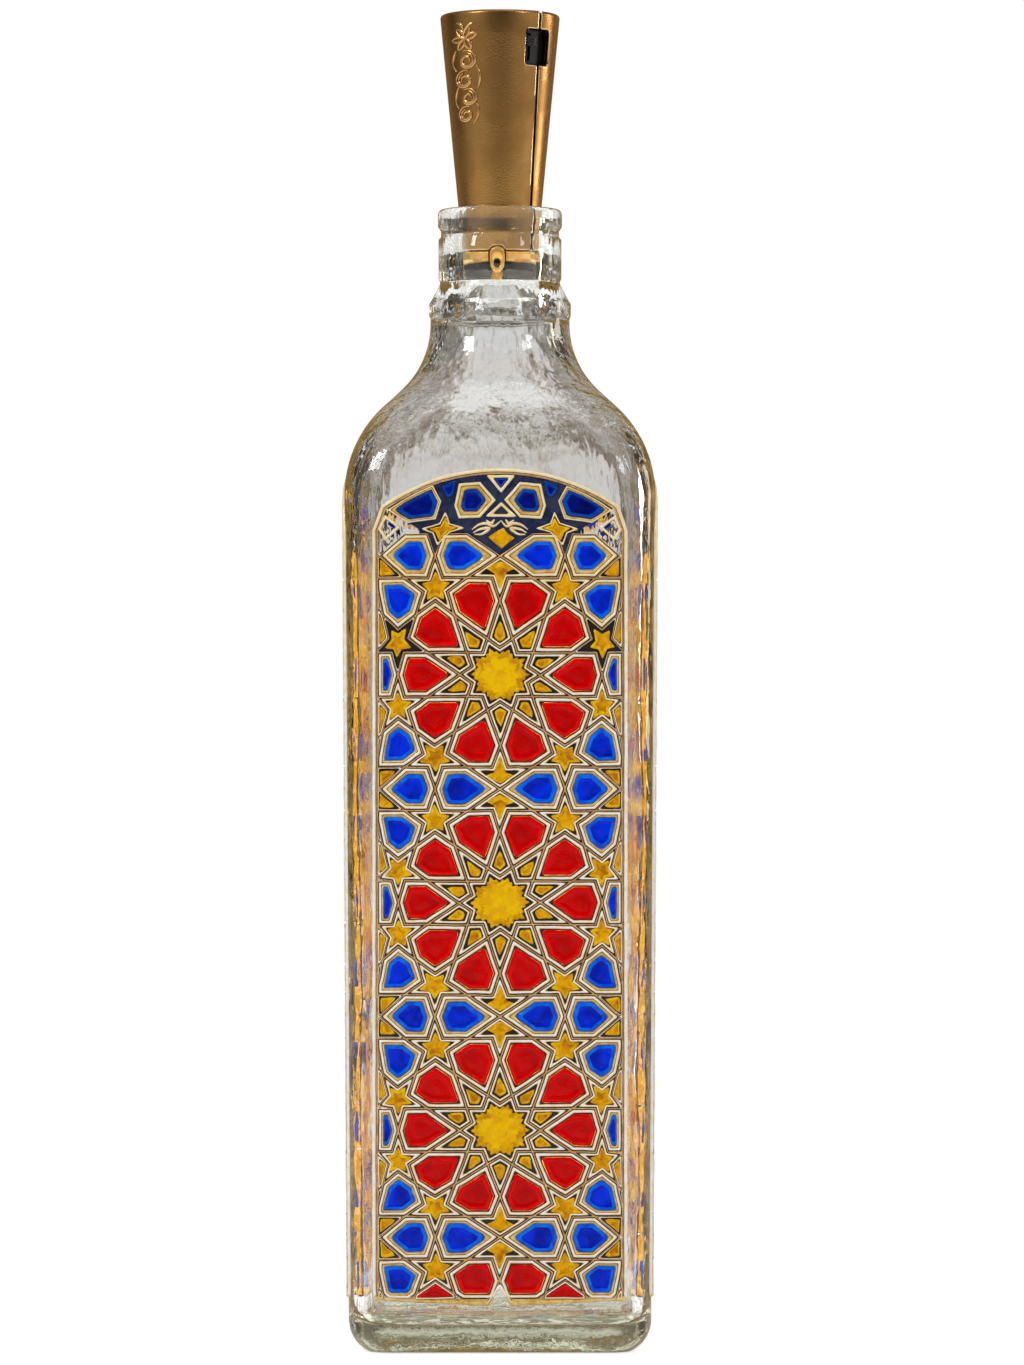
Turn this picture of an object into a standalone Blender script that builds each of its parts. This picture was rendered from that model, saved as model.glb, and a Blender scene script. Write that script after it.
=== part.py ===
"""Square glass bottle with gilded star panels and a battery bottle-light stopper.

Metres, +Z up. The origin is on the bottle's axis, in the plane that it stands on.
The front panel looks along -Y, and the stopper's battery cover faces +X.
"""

import math

import bmesh
import bpy
from mathutils import Matrix, Vector
from mathutils.geometry import delaunay_2d_cdt

# Clearances and overruns
SEAT_GAP = 0.0003
CUT_OVERRUN = 0.002
MERGE_DISTANCE = 0.0000003

# Glass body
BODY_WIDTH_BASE = 0.0756
BODY_WIDTH_TOP = 0.0776
BODY_HEIGHT = 0.2130
CORNER_RADIUS = 0.0100
HEEL_RADIUS = 0.0080
HEEL_TURN = math.radians(68)
WALL = 0.0036
FLOOR_THICKNESS = 0.0070
FLOOR_FILLET = 0.0040
RIM_WIDTH = 0.0055
PUSH_UP_HEIGHT = 0.0030
PUSH_UP_SHARES = ((1.0, 0.0), (0.86, 0.55), (0.5, 1.0))

# Shoulder and neck, each height stacked on the one before
SHOULDER_RADIUS = 0.0325
SHOULDER_TURN = math.radians(45)
NECK_ROOT_RADIUS = 0.01765
NECK_FILLET_RADIUS = 0.0250
ROOT_LAND = 0.0011
NECK_RING_RADIUS = 0.0180
NECK_RING_HEIGHT = 0.0031
NECK_RING_BEVEL = 0.0006
STEP_HEIGHT = 0.0044
WAIST_RADIUS = 0.01525
WAIST_HEIGHT = 0.0006
COLLAR_RADIUS = 0.0156
COLLAR_HEIGHT = 0.0101
COLLAR_BEVEL = 0.0005
GROOVE_RADIUS = 0.0150
GROOVE_HEIGHT = 0.0014
BEAD_RADIUS = 0.01575
BEAD_HEIGHT = 0.0052
BEAD_ROUND = 0.0012
BORE_FLARE_HEIGHT = 0.0080

# Facets of each quarter turn of the glass, and steps of its shoulder arcs
CORNER_STEPS = 5
ARC_STEPS = 6
HEEL_STEPS = 3

# Panels of contour work and enamel
PANEL_SIDE_MARGIN = 0.0072
PANEL_BASE_HEIGHT = 0.0125
ARCH_ABOVE_BODY = 0.0066
ARCH_RISE = 0.0092
ARCH_SHOULDER_DROP = 0.0061
ARCH_SHOULDER_INSET = 0.0022
ARCH_POINTS = 5
FRAME_WIDTH = 0.0014
STRAP_WIDTH = 0.0019
LATTICE_THICKNESS = 0.0005
ENAMEL_THICKNESS = 0.00025
ENAMEL_SETBACK = 0.0006
ROSETTE_SPACING = 0.0564
TOP_ROSETTE_DROP = 0.0512
TOP_ROW_DROP = 0.0086
STRETCH_SHARE = 1.045
TOP_ROW_SCALE_SHARE = 0.84
SMALLEST_CELL_SHARE = 0.12
ROSETTE_PETALS = 10

# Stopper: one tapered outline for the shell, the cover and the plug's end
STOPPER_END_RADIUS = 0.00905
STOPPER_TOP_RADIUS = 0.01525
STOPPER_LENGTH = 0.0647
STOPPER_TOP_BEVEL = 0.0009
PLUG_DEPTH = 0.0153
SHELL_WALL = 0.0015
COVER_DEPTH_TOP = 0.0050
COVER_DEPTH_END = 0.0020
TURNED_SIDES = 32

# Plug end: base, ring, lamp, gland and screw
BASE_FLANGE_HEIGHT = 0.0014
BASE_BEVEL = 0.0004
SPIGOT_HEIGHT = 0.0072
RING_HEIGHT = 0.0020
RING_PROUD = 0.00015
RING_BEVEL = 0.0005
LAMP_OFFSET = 0.0006
LAMP_WIDTH = 0.0035
LAMP_HEIGHT = 0.0056
LAMP_BELOW_PLUG = 0.0009
LAMP_PROUD = 0.0009
LAMP_RIM = 0.0006
LAMP_CORNER = 0.0009
LAMP_LENS_ROUND = 0.0003
LAMP_DEPTH = 0.0016
LAMP_LENS_SETBACK = 0.0003
GLAND_RADIUS = 0.0014
GLAND_BORE_RADIUS = 0.0007
GLAND_SET_FORWARD = 0.0046
GLAND_BELOW_PLUG = 0.0036
GLAND_INSIDE_LENGTH = 0.0046
SCREW_RADIUS = 0.0008
SCREW_HEAD_RADIUS = 0.0016
SCREW_HEAD_HEIGHT = 0.0011
SCREW_SETBACK = 0.0002
SCREW_IN_POST = 0.0035
SCREW_SLOT_WIDTH = 0.0005
SCREW_SLOT_DEPTH = 0.0004

# Battery stack
CELL_RADIUS = 0.0058
CELL_HEIGHT = 0.0054
CELL_CAP_RADIUS = 0.0048
CELL_CAP_HEIGHT = 0.0005
CELL_AXIS_OFFSET = 0.0012
CELL_NAMES = ("cell_lower", "cell_middle", "cell_upper")
TRAY_WALL = 0.0011
TRAY_FLOOR = 0.0012
TRAY_LIP = 0.0008
STACK_BELOW_BOARD = 0.0008
POST_RADIUS = 0.0032
SPRING_WIRE_RADIUS = 0.00025
SPRING_HEIGHT = 0.0019
SPRING_TOP_RADIUS = 0.0022
SPRING_END_RADIUS = 0.0042
SPRING_TURNS = 2.5
SPRING_TURN_POINTS = 12
PLATE_RADIUS = 0.0050
PLATE_THICKNESS = 0.0003

# Switch, in the window that straddles the front seam
WINDOW_WIDTH = 0.0078
WINDOW_HEIGHT = 0.0091
WINDOW_CORNER = 0.0009
WINDOW_BELOW_TOP = 0.0092
WINDOW_AZIMUTH = math.radians(43)
SWITCH_BODY_RECESS = 0.0011
SWITCH_BODY_WIDTH = 0.0080
SWITCH_BODY_HEIGHT = 0.0098
SWITCH_BODY_DEPTH = 0.0035
KNOB_WIDTH = 0.0032
KNOB_HEIGHT = 0.0025
KNOB_RECESS = 0.0003
KNOB_SEAM_GAP = 0.0004
KNOB_FROM_WINDOW_TOP = 0.0019
KNOB_BEVEL = 0.0003
KNOB_GROOVE_DEPTH = 0.0003
BOARD_WIDTH = 0.0100
BOARD_HEIGHT = 0.0112
BOARD_THICKNESS = 0.0010
CHIP_WIDTH = 0.0036
CHIP_HEIGHT = 0.0040
CHIP_THICKNESS = 0.0010

FINISHES = {
    "clear_glass": ((0.93, 0.97, 0.94), 0.0, 0.03, 0.9),
    "gilt_relief": ((0.83, 0.63, 0.28), 1.0, 0.32, 0.0),
    "enamel": ((0.62, 0.05, 0.04), 0.0, 0.08, 0.0),
    "copper_gold": ((0.56, 0.34, 0.13), 1.0, 0.36, 0.0),
    "bright_gold": ((0.95, 0.70, 0.28), 1.0, 0.15, 0.0),
    "black_plastic": ((0.02, 0.02, 0.02), 0.0, 0.30, 0.0),
    "dark_band": ((0.10, 0.07, 0.06), 0.0, 0.45, 0.0),
    "lamp_resin": ((0.03, 0.03, 0.03), 0.0, 0.05, 0.0),
    "steel": ((0.75, 0.75, 0.73), 1.0, 0.25, 0.0),
    "tray_plastic": ((0.85, 0.84, 0.80), 0.0, 0.45, 0.0),
    "board": ((0.03, 0.25, 0.09), 0.0, 0.40, 0.0),
}


# Sizes that follow from the ones above

NECK_HEIGHTS = (
    ROOT_LAND,
    NECK_RING_BEVEL,
    NECK_RING_HEIGHT,
    NECK_RING_BEVEL,
    STEP_HEIGHT,
    WAIST_HEIGHT,
    COLLAR_BEVEL,
    COLLAR_HEIGHT,
    COLLAR_BEVEL,
    GROOVE_HEIGHT,
    BEAD_ROUND / 2,
)


def arc_width(radius, turn):
    """Return how far a tangent arc moves sideways over its turn."""
    return radius * (1 - math.cos(turn))


def shoulder_run():
    """Return the width of the straight stretch between the shoulder's two arcs."""
    arcs = arc_width(SHOULDER_RADIUS, SHOULDER_TURN) + arc_width(NECK_FILLET_RADIUS, SHOULDER_TURN)
    return BODY_WIDTH_TOP / 2 - NECK_ROOT_RADIUS - arcs


def neck_root_height():
    """Return the height at which the shoulder has become the round neck."""
    arcs = (SHOULDER_RADIUS + NECK_FILLET_RADIUS) * math.sin(SHOULDER_TURN)
    return BODY_HEIGHT + arcs + shoulder_run() / math.tan(SHOULDER_TURN)


def bottle_height():
    """Return the height of the lip."""
    return neck_root_height() + sum(NECK_HEIGHTS) + BEAD_HEIGHT


def stopper_slope():
    """Return how much the stopper's radius grows for each unit of its height."""
    return (STOPPER_TOP_RADIUS - STOPPER_END_RADIUS) / STOPPER_LENGTH


def stopper_radius(height):
    """Return the outer radius of the stopper at a height above its lower end."""
    return STOPPER_END_RADIUS + stopper_slope() * height


def bore_radius():
    """Return the bore that the stopper's taper seats in at the lip."""
    return stopper_radius(PLUG_DEPTH) + SEAT_GAP


def seam_offset(height):
    """Return how far the seam plane is from the stopper's axis at a height."""
    share = height / STOPPER_LENGTH
    depth = COVER_DEPTH_END + (COVER_DEPTH_TOP - COVER_DEPTH_END) * share
    return stopper_radius(height) - depth


# Meshes


def clear_scene():
    """Remove what the scene starts with."""
    for item in list(bpy.data.objects):
        bpy.data.objects.remove(item, do_unlink=True)


def finish(name):
    """Return a new material with the values listed under a finish."""
    colour, metallic, roughness, transmission = FINISHES[name]
    material = bpy.data.materials.new(name)
    material.use_nodes = True
    shader = material.node_tree.nodes["Principled BSDF"]
    shader.inputs["Base Color"].default_value = (*colour, 1)
    shader.inputs["Metallic"].default_value = metallic
    shader.inputs["Roughness"].default_value = roughness
    shader.inputs["Transmission Weight"].default_value = transmission
    return material


def mesh_object(name, points, faces, finish_name, parent=None, smooth=True):
    """Make one object from points and faces, with its own material."""
    mesh = bpy.data.meshes.new(name)
    mesh.from_pydata([tuple(p) for p in points], [], faces)
    return object_from_mesh(name, mesh, finish_name, parent, smooth)


def object_from_mesh(name, mesh, finish_name, parent=None, smooth=True):
    """Link an object for a mesh, shade it and give it its material."""
    if smooth:
        mesh.shade_smooth()
        mesh.set_sharp_from_angle(angle=math.radians(30))
    item = bpy.data.objects.new(name, mesh)
    bpy.context.scene.collection.objects.link(item)
    if finish_name:
        item.data.materials.append(finish(finish_name))
    item.parent = parent
    return item


def empty(name, matrix, parent=None):
    """Make an empty that carries other pieces."""
    item = bpy.data.objects.new(name, None)
    bpy.context.scene.collection.objects.link(item)
    item.parent = parent
    item.matrix_local = matrix
    return item


def loft(rings, closed=False):
    """Join rings of points. The first and last are capped, or joined when closed."""
    count = len(rings[0])
    points = [point for ring in rings for point in ring]
    faces = []
    pairs = list(zip(range(len(rings)), range(1, len(rings))))
    if closed:
        pairs.append((len(rings) - 1, 0))
    for low, high in pairs:
        for i in range(count):
            j = (i + 1) % count
            faces.append((low * count + i, low * count + j, high * count + j, high * count + i))
    if not closed:
        faces.append(tuple(reversed(range(count))))
        faces.append(tuple(range((len(rings) - 1) * count, len(rings) * count)))
    return points, faces


def circle(radius, height, centre=(0.0, 0.0)):
    """Return the points of a level circle."""
    turns = [math.tau * i / TURNED_SIDES for i in range(TURNED_SIDES)]
    return [
        (centre[0] + radius * math.cos(t), centre[1] + radius * math.sin(t), height)
        for t in turns
    ]


def turned(name, profile, finish_name, parent, closed=False, centre=(0.0, 0.0)):
    """Make a turned piece from (radius, height) pairs, from the first cap to the last."""
    points, faces = loft([circle(r, z, centre) for r, z in profile], closed)
    return mesh_object(name, points, faces, finish_name, parent)


def runs_along(edge, axis):
    """Tell whether an edge runs along an axis."""
    along = (edge.verts[0].co - edge.verts[1].co).normalized()
    return round(abs(along[axis])) == 1


def block(name, low, high, finish_name, parent, bevel=0.0, axis=None):
    """Make a box between two corners, with the edges along an axis or all edges rounded."""
    build = bmesh.new()
    bmesh.ops.create_cube(build, size=1)
    size = [b - a for a, b in zip(low, high)]
    middle = Vector([(a + b) / 2 for a, b in zip(low, high)])
    bmesh.ops.scale(build, vec=size, verts=build.verts)
    bmesh.ops.translate(build, vec=middle, verts=build.verts)
    if bevel:
        edges = [edge for edge in build.edges if axis is None or runs_along(edge, axis)]
        bmesh.ops.bevel(build, geom=edges, offset=bevel, segments=2, profile=0.5, affect="EDGES")
    mesh = bpy.data.meshes.new(name)
    build.to_mesh(mesh)
    build.free()
    return object_from_mesh(name, mesh, finish_name, parent)


def prism(name, outline, low, high, finish_name, parent):
    """Extrude an outline of (x, z) pairs along Y from low to high."""
    rings = [[(x, y, z) for x, z in outline] for y in (high, low)]
    points, faces = loft(rings)
    item = mesh_object(name, points, faces, finish_name, parent, smooth=False)
    build = bmesh.new()
    build.from_mesh(item.data)
    bmesh.ops.recalc_face_normals(build, faces=build.faces)
    build.to_mesh(item.data)
    build.free()
    return item


def make_cutter(item):
    """Keep a cutter out of the finished part."""
    item.hide_render = True
    item.display_type = "WIRE"
    return item


def cut(item, *cutters):
    """Subtract each cutter from an object."""
    for cutter in cutters:
        modifier = item.modifiers.new(f"cut_{cutter.name}", "BOOLEAN")
        modifier.operation = "DIFFERENCE"
        modifier.solver = "EXACT"
        modifier.object = cutter


# Glass bottle


def section(half, corner, height, round_share):
    """Return one level ring of the glass, from a rounded square to a circle.

    At a round_share of 1 the corner is the whole radius, and the ring is an even polygon.
    """
    centre = half - corner
    first = math.radians(90) / (2 * (CORNER_STEPS + 1)) * round_share
    step = (math.radians(90) - 2 * first) / CORNER_STEPS
    ring = []
    for quarter in range(4):
        turn = Matrix.Rotation(math.radians(90) * quarter, 2)
        for i in range(CORNER_STEPS + 1):
            angle = first + step * i
            corner_point = Vector((centre + corner * math.cos(angle), centre + corner * math.sin(angle)))
            placed = turn @ corner_point
            ring.append((placed.x, placed.y, height))
    return ring


def shoulder_section(half, height, inset=0.0):
    """Return the shoulder's ring for an outer half width, or the same ring set in by a wall."""
    body_half = BODY_WIDTH_TOP / 2
    share = (body_half - half) / (body_half - NECK_ROOT_RADIUS)
    round_share = min(max(share, 0.0), 1.0)
    centre = (body_half - CORNER_RADIUS) * (1 - round_share)
    return section(half - inset, half - inset - centre, height, round_share)


def shoulder_levels(inset):
    """Return (outer half width, inset, height) up the shoulder, for its surface set in by a wall."""
    levels = []
    arc_centre = BODY_WIDTH_TOP / 2 - SHOULDER_RADIUS
    for i in range(ARC_STEPS + 1):
        angle = SHOULDER_TURN * i / ARC_STEPS
        half = arc_centre + SHOULDER_RADIUS * math.cos(angle)
        wall = inset * math.cos(angle)
        height = BODY_HEIGHT + (SHOULDER_RADIUS - inset) * math.sin(angle)
        levels.append((half, wall, height))
    fillet_centre = NECK_ROOT_RADIUS + NECK_FILLET_RADIUS
    for i in range(ARC_STEPS + 1):
        angle = SHOULDER_TURN * (1 - i / ARC_STEPS)
        half = fillet_centre - NECK_FILLET_RADIUS * math.cos(angle)
        wall = inset * math.cos(angle)
        height = neck_root_height() - (NECK_FILLET_RADIUS + inset) * math.sin(angle)
        levels.append((half, wall, height))
    return levels


def body_half(height):
    """Return the half width of the straight-tapered body at a height."""
    share = (height - HEEL_RADIUS) / (BODY_HEIGHT - HEEL_RADIUS)
    return (BODY_WIDTH_BASE + (BODY_WIDTH_TOP - BODY_WIDTH_BASE) * share) / 2


def outer_rings():
    """Return the rings of the outside, from the push-up to the lip."""
    heel_half = body_half(HEEL_RADIUS)
    rim_half = heel_half - arc_width(HEEL_RADIUS, HEEL_TURN)
    inner_rim = rim_half - RIM_WIDTH
    rings = []
    for size_share, height_share in reversed(PUSH_UP_SHARES):
        half = inner_rim * size_share
        corner = (CORNER_RADIUS - (heel_half - rim_half)) * size_share
        rings.append(section(half, corner, PUSH_UP_HEIGHT * height_share, 0.0))
    base_lift = HEEL_RADIUS * (1 - math.sin(HEEL_TURN))
    for i in range(HEEL_STEPS + 1):
        angle = HEEL_TURN * (1 - i / HEEL_STEPS)
        inset = arc_width(HEEL_RADIUS, angle)
        height = HEEL_RADIUS * (1 - math.sin(angle)) - base_lift * (1 - i / HEEL_STEPS)
        rings.append(section(heel_half - inset, CORNER_RADIUS - inset, height, 0.0))
    for half, wall, height in shoulder_levels(0.0):
        rings.append(shoulder_section(half, height, wall))
    radii = (
        NECK_ROOT_RADIUS,
        NECK_RING_RADIUS,
        NECK_RING_RADIUS,
        NECK_ROOT_RADIUS,
        WAIST_RADIUS,
        WAIST_RADIUS,
        COLLAR_RADIUS,
        COLLAR_RADIUS,
        GROOVE_RADIUS,
        GROOVE_RADIUS,
        BEAD_RADIUS,
    )
    height = neck_root_height()
    for radius, rise in zip(radii, NECK_HEIGHTS):
        height += rise
        rings.append(section(radius, radius, height, 1.0))
    top = bottle_height()
    rings.append(section(BEAD_RADIUS, BEAD_RADIUS, top - BEAD_ROUND, 1.0))
    lip_radius = BEAD_RADIUS - BEAD_ROUND
    rings.append(section(lip_radius, lip_radius, top, 1.0))
    return rings


def inner_rings():
    """Return the rings of the inside, from the lip down to the floor."""
    bore = bore_radius()
    rings = [section(bore, bore, bottle_height(), 1.0)]
    flare_top = neck_root_height() + BORE_FLARE_HEIGHT
    rings.append(section(bore, bore, flare_top, 1.0))
    for half, wall, height in reversed(shoulder_levels(WALL)):
        rings.append(shoulder_section(half, height, wall))
    floor_half = body_half(FLOOR_THICKNESS + FLOOR_FILLET) - WALL
    corner = CORNER_RADIUS - WALL
    for i in range(HEEL_STEPS + 1):
        angle = math.radians(90) * i / HEEL_STEPS
        inset = arc_width(FLOOR_FILLET, angle)
        height = FLOOR_THICKNESS + FLOOR_FILLET * (1 - math.sin(angle))
        rings.append(section(floor_half - inset, corner - inset, height, 0.0))
    return rings


def glass_bottle():
    """Make the hollow glass bottle as one closed solid."""
    points, faces = loft(outer_rings() + inner_rings())
    return mesh_object("glass_bottle", points, faces, "clear_glass")


# Panels


def wall_half(height):
    """Return the half width of the glass at a height, as its facets have it."""
    if height <= BODY_HEIGHT:
        return body_half(height)
    levels = [(z, half) for half, _, z in shoulder_levels(0.0)]
    for (low_z, low_half), (high_z, high_half) in zip(levels, levels[1:]):
        if height <= high_z:
            return low_half + (high_half - low_half) * (height - low_z) / (high_z - low_z)
    return levels[-1][1]


def flat_half():
    """Return half the width over which a panel is flat, before it follows the rounded corners."""
    return BODY_WIDTH_TOP / 2 - CORNER_RADIUS


def wall_depth(x, height):
    """Return how far the front wall is from the axis, with the first facet of its corners."""
    past_flat = max(abs(x) - flat_half(), 0.0)
    facet = math.radians(90) / CORNER_STEPS
    return wall_half(height) - past_flat * math.tan(facet / 2)


def panel_half_width():
    """Return half the width of a panel."""
    return BODY_WIDTH_TOP / 2 - PANEL_SIDE_MARGIN


def arch_apex():
    """Return the height of the top of a panel's arch."""
    return BODY_HEIGHT + ARCH_ABOVE_BODY


def panel_outline(inset):
    """Return the outline of a panel, set in by a width, anticlockwise from its lower left."""
    side = panel_half_width()
    springing = arch_apex() - ARCH_RISE
    outline = [(-side, PANEL_BASE_HEIGHT), (side, PANEL_BASE_HEIGHT)]
    outline.append((side, springing - ARCH_SHOULDER_DROP))
    arch_side = side - ARCH_SHOULDER_INSET
    radius = (arch_side**2 + ARCH_RISE**2) / (2 * ARCH_RISE)
    half_turn = math.asin(arch_side / radius)
    for i in range(ARCH_POINTS):
        angle = half_turn * (1 - 2 * i / (ARCH_POINTS - 1))
        outline.append((radius * math.sin(angle), arch_apex() - arc_width(radius, angle)))
    outline.append((-side, springing - ARCH_SHOULDER_DROP))
    return inset_outline(outline, inset)


def inset_outline(outline, distance):
    """Move each side of an anticlockwise outline inwards and join the sides again."""
    lines = []
    for a, b in zip(outline, outline[1:] + outline[:1]):
        along = (Vector(b) - Vector(a)).normalized()
        inward = Vector((-along.y, along.x))
        lines.append((Vector(a) + inward * distance, along))
    found = []
    for (p, u), (q, v) in zip(lines[-1:] + lines[:-1], lines):
        cross = u.x * v.y - u.y * v.x
        gap = q - p
        share = (gap.x * v.y - gap.y * v.x) / cross
        found.append(tuple(p + u * share))
    return found


def area(outline):
    """Return the signed area of an outline."""
    pairs = zip(outline, outline[1:] + outline[:1])
    return sum(a[0] * b[1] - b[0] * a[1] for a, b in pairs) / 2


def clip(outline, window):
    """Return the part of an outline inside a convex anticlockwise window."""
    kept = list(outline)
    for a, b in zip(window, window[1:] + window[:1]):
        edge = Vector(b) - Vector(a)

        def side(point):
            return edge.x * (point[1] - a[1]) - edge.y * (point[0] - a[0])

        source, kept = kept, []
        for p, q in zip(source, source[1:] + source[:1]):
            if side(p) >= 0:
                kept.append(p)
            if side(p) * side(q) < 0:
                share = side(p) / (side(p) - side(q))
                kept.append(tuple(Vector(p).lerp(Vector(q), share)))
        if not kept:
            return []
    return kept


def rosette_reach():
    """Return the distance from a rosette's centre to the outer end of its petals."""
    return ROSETTE_SPACING / (4 * math.sin(math.tau / ROSETTE_PETALS))


def petal_half_width():
    """Return half the width of a petal, which the crossing star lines set."""
    tenth = math.tau / ROSETTE_PETALS
    return rosette_reach() / (1 / math.tan(tenth / 2) + 1 / math.tan(tenth))


def petal_points():
    """Return the petal that lies along +X from its rosette's centre."""
    tenth = math.tau / ROSETTE_PETALS
    half, reach = petal_half_width(), rosette_reach()
    tip = half / math.sin(tenth)
    shoulder = half / math.tan(tenth / 2)
    heel = reach - half / math.tan(2 * tenth)
    return [(tip, 0), (shoulder, -half), (heel, -half), (reach, 0), (heel, half), (shoulder, half)]


def placed_cell(points, centre, angle, scale=1.0):
    """Turn a cell about its rosette's centre, stretch it and set it in by half a strap."""
    turned_points = [Matrix.Rotation(angle, 2) @ Vector(p) for p in points]
    placed = [
        (centre[0] + p.x * STRETCH_SHARE * scale, centre[1] + p.y * scale) for p in turned_points
    ]
    return inset_outline(placed, STRAP_WIDTH / 2)


def rosette_rows(first, window_low):
    """Return row heights one spacing apart, from the first down to one that still reaches in."""
    rows = [first]
    while rows[-1] - ROSETTE_SPACING + rosette_reach() > window_low:
        rows.append(rows[-1] - ROSETTE_SPACING)
    return rows


def panel_cells():
    """Return the open cells of one panel: star centres, petals and the pairs between rosettes."""
    window = panel_outline(FRAME_WIDTH)
    petal = petal_points()
    tenth = math.tau / ROSETTE_PETALS
    side_step = rosette_reach() * 2 * math.cos(tenth) * STRETCH_SHARE
    top_row = arch_apex() - TOP_ROSETTE_DROP
    columns = math.ceil((panel_half_width() + rosette_reach()) / side_step)
    petals, stars = [], []
    for column in range(-columns, columns + 1):
        lift = ROSETTE_SPACING / 2 * (column % 2)
        for height in rosette_rows(top_row + lift, PANEL_BASE_HEIGHT):
            centre = (column * side_step, height)
            stars.append(placed_cell(star_points(), centre, 0.0))
            petals += [placed_cell(petal, centre, tenth * k) for k in range(ROSETTE_PETALS)]
            petals += tip_pair(petal, (centre[0], height + ROSETTE_SPACING / 2), 1.0)
    upper = (0.0, arch_apex() - TOP_ROW_DROP)
    petals += tip_pair(petal, upper, TOP_ROW_SCALE_SHARE)
    side_centre = side_step * TOP_ROW_SCALE_SHARE
    petals.append(placed_cell(petal, (side_centre, upper[1]), math.pi, TOP_ROW_SCALE_SHARE))
    petals.append(placed_cell(petal, (-side_centre, upper[1]), 0.0, TOP_ROW_SCALE_SHARE))
    whole = area(placed_cell(petal, (0.0, 0.0), 0.0))
    kept = []
    for cell in petals:
        inside = clip(cell, window)
        if len(inside) > 2 and area(inside) > whole * SMALLEST_CELL_SHARE:
            kept.append(inside)
    for cell in stars:
        if len(clip(cell, window)) == len(cell) and clip(cell, window) == cell:
            kept.append(cell)
    return kept


def tip_pair(petal, centre, scale):
    """Return two petals, tip to tip, about a crossing between rosettes."""
    tip = petal[0][0]
    shifted = [(x - tip, y) for x, y in petal]
    return [placed_cell(shifted, centre, angle, scale) for angle in (0.0, math.pi)]


def star_points():
    """Return the ten-pointed star in the middle of a rosette."""
    tenth = math.tau / ROSETTE_PETALS
    half = petal_half_width()
    points = []
    for k in range(ROSETTE_PETALS):
        outer, inner = half / math.sin(tenth), half / math.cos(tenth)
        points.append((outer * math.cos(tenth * k), outer * math.sin(tenth * k)))
        between = tenth * (k + 1 / 2)
        points.append((inner * math.cos(between), inner * math.sin(between)))
    return points


def inside(point, outline):
    """Tell whether a point is inside an outline."""
    found = False
    for a, b in zip(outline, outline[1:] + outline[:1]):
        if (a[1] > point[1]) != (b[1] > point[1]):
            if point[0] < a[0] + (b[0] - a[0]) * (point[1] - a[1]) / (b[1] - a[1]):
                found = not found
    return found


def crossings(outline, height):
    """Return where a level line crosses an outline, from left to right."""
    found = []
    for a, b in zip(outline, outline[1:] + outline[:1]):
        if (a[1] > height) != (b[1] > height):
            found.append(a[0] + (b[0] - a[0]) * (height - a[1]) / (b[1] - a[1]))
    return sorted(found)


def bend_lines(outline):
    """Return the lines across an outline on which the glass behind it bends."""
    lines = []
    for _, _, height in shoulder_levels(0.0):
        lines.append([(x, height) for x in crossings(outline, height)])
    on_its_side = [(z, x) for x, z in outline]
    for x in (-flat_half(), flat_half()):
        lines.append([(x, height) for height in crossings(on_its_side, x)])
    return [line for line in lines if line]


def sheet(outline, holes, low, high, name):
    """Return a mesh for a plate with holes that follows the glass, between two offsets from it."""
    points, edges = [], []
    for loop in [outline] + holes:
        first = len(points)
        points += [Vector(p) for p in loop]
        edges += [(first + i, first + (i + 1) % len(loop)) for i in range(len(loop))]
    for line in bend_lines(outline):
        edges.append((len(points), len(points) + 1))
        points += [Vector(p) for p in line]
    flat, _, triangles, _, _, _ = delaunay_2d_cdt(points, edges, [], 0, MERGE_DISTANCE)
    kept = []
    for triangle in triangles:
        middle = sum((flat[i] for i in triangle), Vector((0.0, 0.0))) / 3
        if inside(middle, outline) and not any(inside(middle, hole) for hole in holes):
            kept.append(tuple(triangle))
    used = sorted({i for triangle in kept for i in triangle})
    place = {old: new for new, old in enumerate(used)}
    count = len(used)
    solid = []
    for offset in (low, high):
        for i in used:
            x, z = flat[i]
            solid.append((x, -wall_depth(x, z) - offset, z))
    faces = []
    sides = set()
    for triangle in kept:
        a, b, c = (place[i] for i in triangle)
        faces.append((c, b, a))
        faces.append((a + count, b + count, c + count))
        sides |= {(a, b), (b, c), (c, a)}
    for a, b in sides:
        if (b, a) not in sides:
            faces.append((a, b, b + count, a + count))
    mesh = bpy.data.meshes.new(name)
    mesh.from_pydata(solid, [], faces)
    build = bmesh.new()
    build.from_mesh(mesh)
    bmesh.ops.recalc_face_normals(build, faces=build.faces)
    build.to_mesh(mesh)
    build.free()
    return mesh


def panels():
    """Make the enamel coat and the contour work of each face."""
    outline = panel_outline(0.0)
    coat_outline = panel_outline(ENAMEL_SETBACK)
    coat_low = SEAT_GAP
    coat_high = coat_low + ENAMEL_THICKNESS
    lattice_low = coat_high + SEAT_GAP
    lattice_high = lattice_low + LATTICE_THICKNESS
    coat = sheet(coat_outline, [], coat_low, coat_high, "enamel")
    lattice = sheet(outline, panel_cells(), lattice_low, lattice_high, "lattice")
    for quarter, side in enumerate(("front", "right", "back", "left")):
        turn = Matrix.Rotation(math.radians(90) * quarter, 4, "Z")
        for name, mesh, finish_name in (("enamel", coat, "enamel"), ("lattice", lattice, "gilt_relief")):
            item = object_from_mesh(f"{name}_{side}", mesh.copy(), finish_name, smooth=False)
            item.matrix_local = turn


# Stopper, in its own frame: its lower end is at zero


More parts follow.
